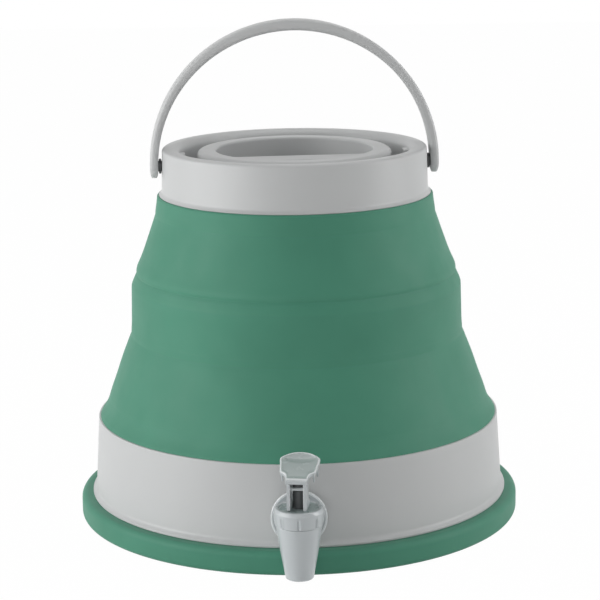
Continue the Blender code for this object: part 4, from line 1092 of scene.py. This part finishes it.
def add_valve():
    """Stem, seat cup and return spring."""
    _, bottom, top = ring_size("tap_stem")
    collet_top = BONNET_CEILING - COLLET_DROP
    collet_bottom = collet_top - COLLET_THICKNESS
    stem = turned([
        (0, top), (STEM_RADIUS, top, STEM_ROUND), (STEM_RADIUS, collet_top),
        (COLLET_RADIUS, collet_top, COLLET_ROUND),
        (COLLET_RADIUS, collet_bottom, COLLET_ROUND), (STEM_FOOT_RADIUS, collet_bottom),
        (STEM_FOOT_RADIUS, bottom, COLLET_ROUND), (0, bottom),
    ], SMALL_STEPS)
    opening = BAR_RADIUS + FIT
    notch = box(
        (-STEM_RADIUS * 2, -STEM_RADIUS * 2, BAR_HEIGHT - opening),
        (STEM_RADIUS * 2, -BAR_REACH + opening, BAR_HEIGHT + opening),
    )
    stem = carved(stem, ("DIFFERENCE", notch))
    show("dark_tap_stem", placed(stem, LEVER_PLACE), "dark_plastic", "stem", "tap_stem")
    socket = STEM_FOOT_RADIUS + FIT
    cup_top = collet_bottom - FIT
    cup_bottom = bottom - FIT - CUP_FLOOR
    cup = turned([
        (0, bottom - FIT), (socket, bottom - FIT), (socket, cup_top),
        (CUP_TOP_RADIUS, cup_top, GASKET_ROUND),
        (CUP_RADIUS, cup_bottom + CUP_RIM, CUP_ROUND), (CUP_RADIUS, cup_bottom, CUP_ROUND),
        (0, cup_bottom),
    ], SMALL_STEPS)
    show("soft_seat_cup", placed(cup, LEVER_PLACE), "seal_rubber", "stem", "seat_cup")
    low = collet_top + FIT + SPRING_WIRE
    high = BONNET_CEILING - FIT - SPRING_WIRE
    wire = helix(SPRING_RADIUS, SPRING_WIRE, low, high, SPRING_TURNS, SPRING_STATIONS)
    spring = add_piece("return_spring", placed(wire, LEVER_PLACE), "spring_steel", "tap_spring")
    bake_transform(spring)


def pad_outline(inset):
    """Return the thumb pad's smooth outline, drawn in by an inset, with its length along Y."""
    half = THUMB_PAD_WIDTH / 2 - inset
    length = THUMB_PAD_LENGTH - 2 * inset
    right = [Vector((half * side, inset + length * along)) for along, side in THUMB_PAD_SHARES]
    left = [Vector((-point.x, point.y)) for point in reversed(right)]
    return smoothed(right + left) + smoothed([left[-1], right[0]])[1:-1]


def pad_height(x, y, share):
    """Return the height of the thumb pad's top at a place and a share of the way to its edge."""
    away = math.hypot(x / DISH_REACH, (y - THUMB_PAD_LENGTH * DISH_PLACE_SHARE) / DISH_RUN)
    border = THUMB_PAD_BORDER / (THUMB_PAD_WIDTH / 2)
    sink = min(1, max(0, (1 - share) / border - SINK_START_SHARE))
    return -DISH_DEPTH * max(0, 1 - away * away) - THUMB_PAD_SINK * sink


def thumb_pad():
    """Make the thumb pad: dished top, round edge, skirt and hollow underside."""
    shape = bmesh.new()
    centre = Vector((0, THUMB_PAD_LENGTH * DISH_PLACE_SHARE))
    rings = [[shape.verts.new((0, centre.y, pad_height(0, centre.y, 0)))]]
    rim = pad_outline(THUMB_PAD_ROUND)
    for step in range(1, PAD_RINGS + 1):
        share = step / PAD_RINGS
        ring = [centre + (point - centre) * share for point in rim]
        rings.append([shape.verts.new((p.x, p.y, pad_height(p.x, p.y, share))) for p in ring])
    levels = []
    for step in range(1, PAD_EDGE_STEPS + 1):
        roll = math.pi / 2 * step / PAD_EDGE_STEPS
        levels.append((THUMB_PAD_ROUND * (1 - math.sin(roll)), -THUMB_PAD_ROUND * (1 - math.cos(roll))))
    levels += [(0, -THUMB_PAD_SKIRT), (THUMB_PAD_WALL, -THUMB_PAD_SKIRT)]
    levels += [(THUMB_PAD_WALL, -THUMB_PAD_THICKNESS)]
    for inset, height in levels:
        rings.append([shape.verts.new((p.x, p.y, height)) for p in pad_outline(inset)])
    rings.append([shape.verts.new((0, centre.y, -THUMB_PAD_THICKNESS))])
    return skinned(shape, rings)


def tabs():
    """Make the tabs that hang from the thumb pad's sides."""
    meshes = []
    for share, along in TAB_SHARES:
        reach = THUMB_PAD_WIDTH / 2 * share
        front = THUMB_PAD_LENGTH * along
        for left in (-reach, reach - TAB_WALL):
            high = (left + TAB_WALL, front + TAB_LENGTH, -THUMB_PAD_THICKNESS / 2)
            meshes.append(box((left, front, -TAB_DROP), high))
    return meshes


def cheek(side):
    """Make one of the lever's cheeks from its side view, with its heel at the back."""
    foot = FIT - BAR_RISE
    back = CHEEK_DEPTH - CHEEK_FRONT
    under_pad = THUMB_PAD_RISE - THUMB_PAD_THICKNESS / 2
    side_view = rounded([
        (-CHEEK_FRONT, foot), (CHEEK_BACK, foot, CHEEK_TOE),
        (CHEEK_BACK, foot + CHEEK_FOOT, CHEEK_TOE), (back, foot + CHEEK_FOOT, CHEEK_ROUND),
        (back, under_pad + math.tan(THUMB_PAD_TILT) * CHEEK_DEPTH),
        (-CHEEK_FRONT, under_pad),
    ])
    shape = bmesh.new()
    return skinned(shape, [
        [shape.verts.new((side * x, point.x, point.y)) for point in side_view]
        for x in (STEM_HOLE, STEM_HOLE + CHEEK_THICKNESS)
    ])


def add_lever():
    """Lever: its parts are joined into one soft-edged moulding."""
    lean = Matrix.Rotation(THUMB_PAD_TILT, 4, "X")
    tilt = Matrix.Translation((0, -CHEEK_FRONT - FIT, THUMB_PAD_RISE)) @ lean
    lip = box(
        (-LIP_WIDTH / 2, -CHEEK_FRONT - LIP_THICKNESS / 2, THUMB_PAD_RISE - LIP_DEPTH),
        (LIP_WIDTH / 2, -CHEEK_FRONT + LIP_THICKNESS / 2, THUMB_PAD_RISE - THUMB_PAD_THICKNESS / 4),
    )
    reach = STEM_HOLE + CHEEK_THICKNESS / 2
    bar = placed(drum(BAR_RADIUS, -reach, reach, SMALL_STEPS // 2), sideways(1))
    shape = bmesh.new()
    for mesh in [placed(part, tilt) for part in [thumb_pad()] + tabs()] + [lip, bar, cheek(-1), cheek(1)]:
        shape.from_mesh(mesh)
    pivot = LEVER_PLACE @ Matrix.Translation((0, -BAR_REACH, BAR_HEIGHT))
    mesh = placed(softened(to_mesh(shape)), pivot)
    piece = show("cloudy_tap_lever", mesh, "tap_plastic", "lever", "tap_lever")
    from_pivot = pivot.inverted()
    from_pad = tilt.inverted() @ from_pivot
    # Painted light: the bar and the cheeks' inner faces, and the thumb pad's rim, get the lighter edge
    # finish
    tint(piece, "edge_painted_light", lambda place: (
        between_cheeks(from_pivot @ place) or (from_pad @ place).z > -THUMB_PAD_ROUND / 2
    ))
    # Painted shade: the thumb pad's top inside its border gets the darker pad finish
    tint(piece, "pad_painted_shade", lambda place: on_pad(from_pad @ place))


def between_cheeks(place):
    """Tell whether a place of the lever lies between its cheeks and below its thumb pad."""
    return abs(place.x) < STEM_HOLE + FIT and place.z < THUMB_PAD_RISE - LIP_DEPTH


def on_pad(place):
    """Tell whether a place lies on the thumb pad's top, inside its border."""
    if place.z < -DISH_DEPTH - THUMB_PAD_SINK - FIT:
        return False
    outline = pad_outline(THUMB_PAD_BORDER)
    inside = False
    for here, after in zip(outline, outline[1:] + outline[:1]):
        if (here.y > place.y) != (after.y > place.y):
            across = here.x + (after.x - here.x) * (place.y - here.y) / (after.y - here.y)
            inside = inside != (place.x < across)
    return inside


def add_glow(tree, shader, glow, share):
    """Return a shader with a share of white glow where the camera, a gloss or a clear body sees it."""
    path = tree.nodes.new("ShaderNodeLightPath")
    seen = path.outputs["Is Camera Ray"]
    for ray in ("Is Glossy Ray", "Is Transmission Ray"):
        either = tree.nodes.new("ShaderNodeMath")
        either.operation = "MAXIMUM"
        tree.links.new(seen, either.inputs[0])
        tree.links.new(path.outputs[ray], either.inputs[1])
        seen = either.outputs["Value"]
    part = tree.nodes.new("ShaderNodeMath")
    part.operation = "MULTIPLY"
    part.inputs[1].default_value = share
    tree.links.new(seen, part.inputs[0])
    mix = tree.nodes.new("ShaderNodeMixShader")
    tree.links.new(part.outputs["Value"], mix.inputs["Fac"])
    tree.links.new(shader, mix.inputs[1])
    tree.links.new(glow, mix.inputs[2])
    return mix.outputs["Shader"]


def add_floor():
    """Pale floor that keeps a soft shadow."""
    shape = bmesh.new()
    bmesh.ops.create_grid(shape, x_segments=1, y_segments=1, size=FLOOR_SIZE / 2)
    floor = linked("pale_floor", to_mesh(shape))
    material = bpy.data.materials.new("pale_floor")
    material.use_nodes = True
    tree = material.node_tree
    shader = tree.nodes["Principled BSDF"]
    shader.inputs["Base Color"].default_value = FLOOR_COLOUR
    shader.inputs["Roughness"].default_value = FLOOR_ROUGHNESS
    glow = tree.nodes.new("ShaderNodeEmission")
    surface = add_glow(tree, shader.outputs["BSDF"], glow.outputs["Emission"], FLOOR_GLOW_SHARE)
    tree.links.new(surface, tree.nodes["Material Output"].inputs["Surface"])
    floor.data.materials.append(material)


def add_world():
    """Even ambient light, with a white background."""
    world = bpy.data.worlds.new("studio")
    world.use_nodes = True
    tree = world.node_tree
    ambient = tree.nodes["Background"]
    ambient.inputs["Color"].default_value = WHITE
    ambient.inputs["Strength"].default_value = AMBIENT
    white = tree.nodes.new("ShaderNodeBackground")
    white.inputs["Color"].default_value = WHITE
    surface = add_glow(tree, ambient.outputs["Background"], white.outputs["Background"], 1)
    tree.links.new(surface, tree.nodes["World Output"].inputs["Surface"])
    bpy.context.scene.world = world


def add_lights():
    """Large soft boxes at the sides, in front and above."""
    for name, turn, rise, width, height, power in SOFT_BOXES:
        lamp = bpy.data.lights.new(name, "AREA")
        lamp.shape = "RECTANGLE"
        lamp.size = width
        lamp.size_y = height
        lamp.energy = power
        light = linked(name, lamp)
        swing = Matrix.Rotation(math.radians(turn), 3, "Z") @ Matrix.Rotation(-math.radians(rise), 3, "X")
        away = swing @ Vector((0, -LIGHT_DISTANCE, 0))
        light.location = Vector(LIGHT_AIM) + away
        light.rotation_euler = (-away).to_track_quat("-Z", "Y").to_euler()


def add_camera():
    """Camera at the photograph's view."""
    lens = bpy.data.cameras.new("camera")
    lens.lens = CAMERA_LENS
    camera = linked("camera", lens)
    camera.location = CAMERA_PLACE
    dip = Matrix.Rotation(math.pi / 2 - CAMERA_DIP, 3, "X")
    roll = Matrix.Rotation(CAMERA_ROLL, 3, "Z")
    camera.rotation_euler = (dip @ roll).to_euler()
    bpy.context.scene.camera = camera


def build():
    """Add every piece and the surroundings."""
    add_tray()
    add_pan()
    add_wall()
    add_collar()
    add_neck()
    add_lid()
    add_bail()
    add_tap_fixing()
    add_tap_body()
    add_bonnet()
    add_valve()
    add_lever()
    add_floor()
    add_world()
    add_lights()
    add_camera()
    bpy.context.scene.view_settings.view_transform = "Standard"


build()
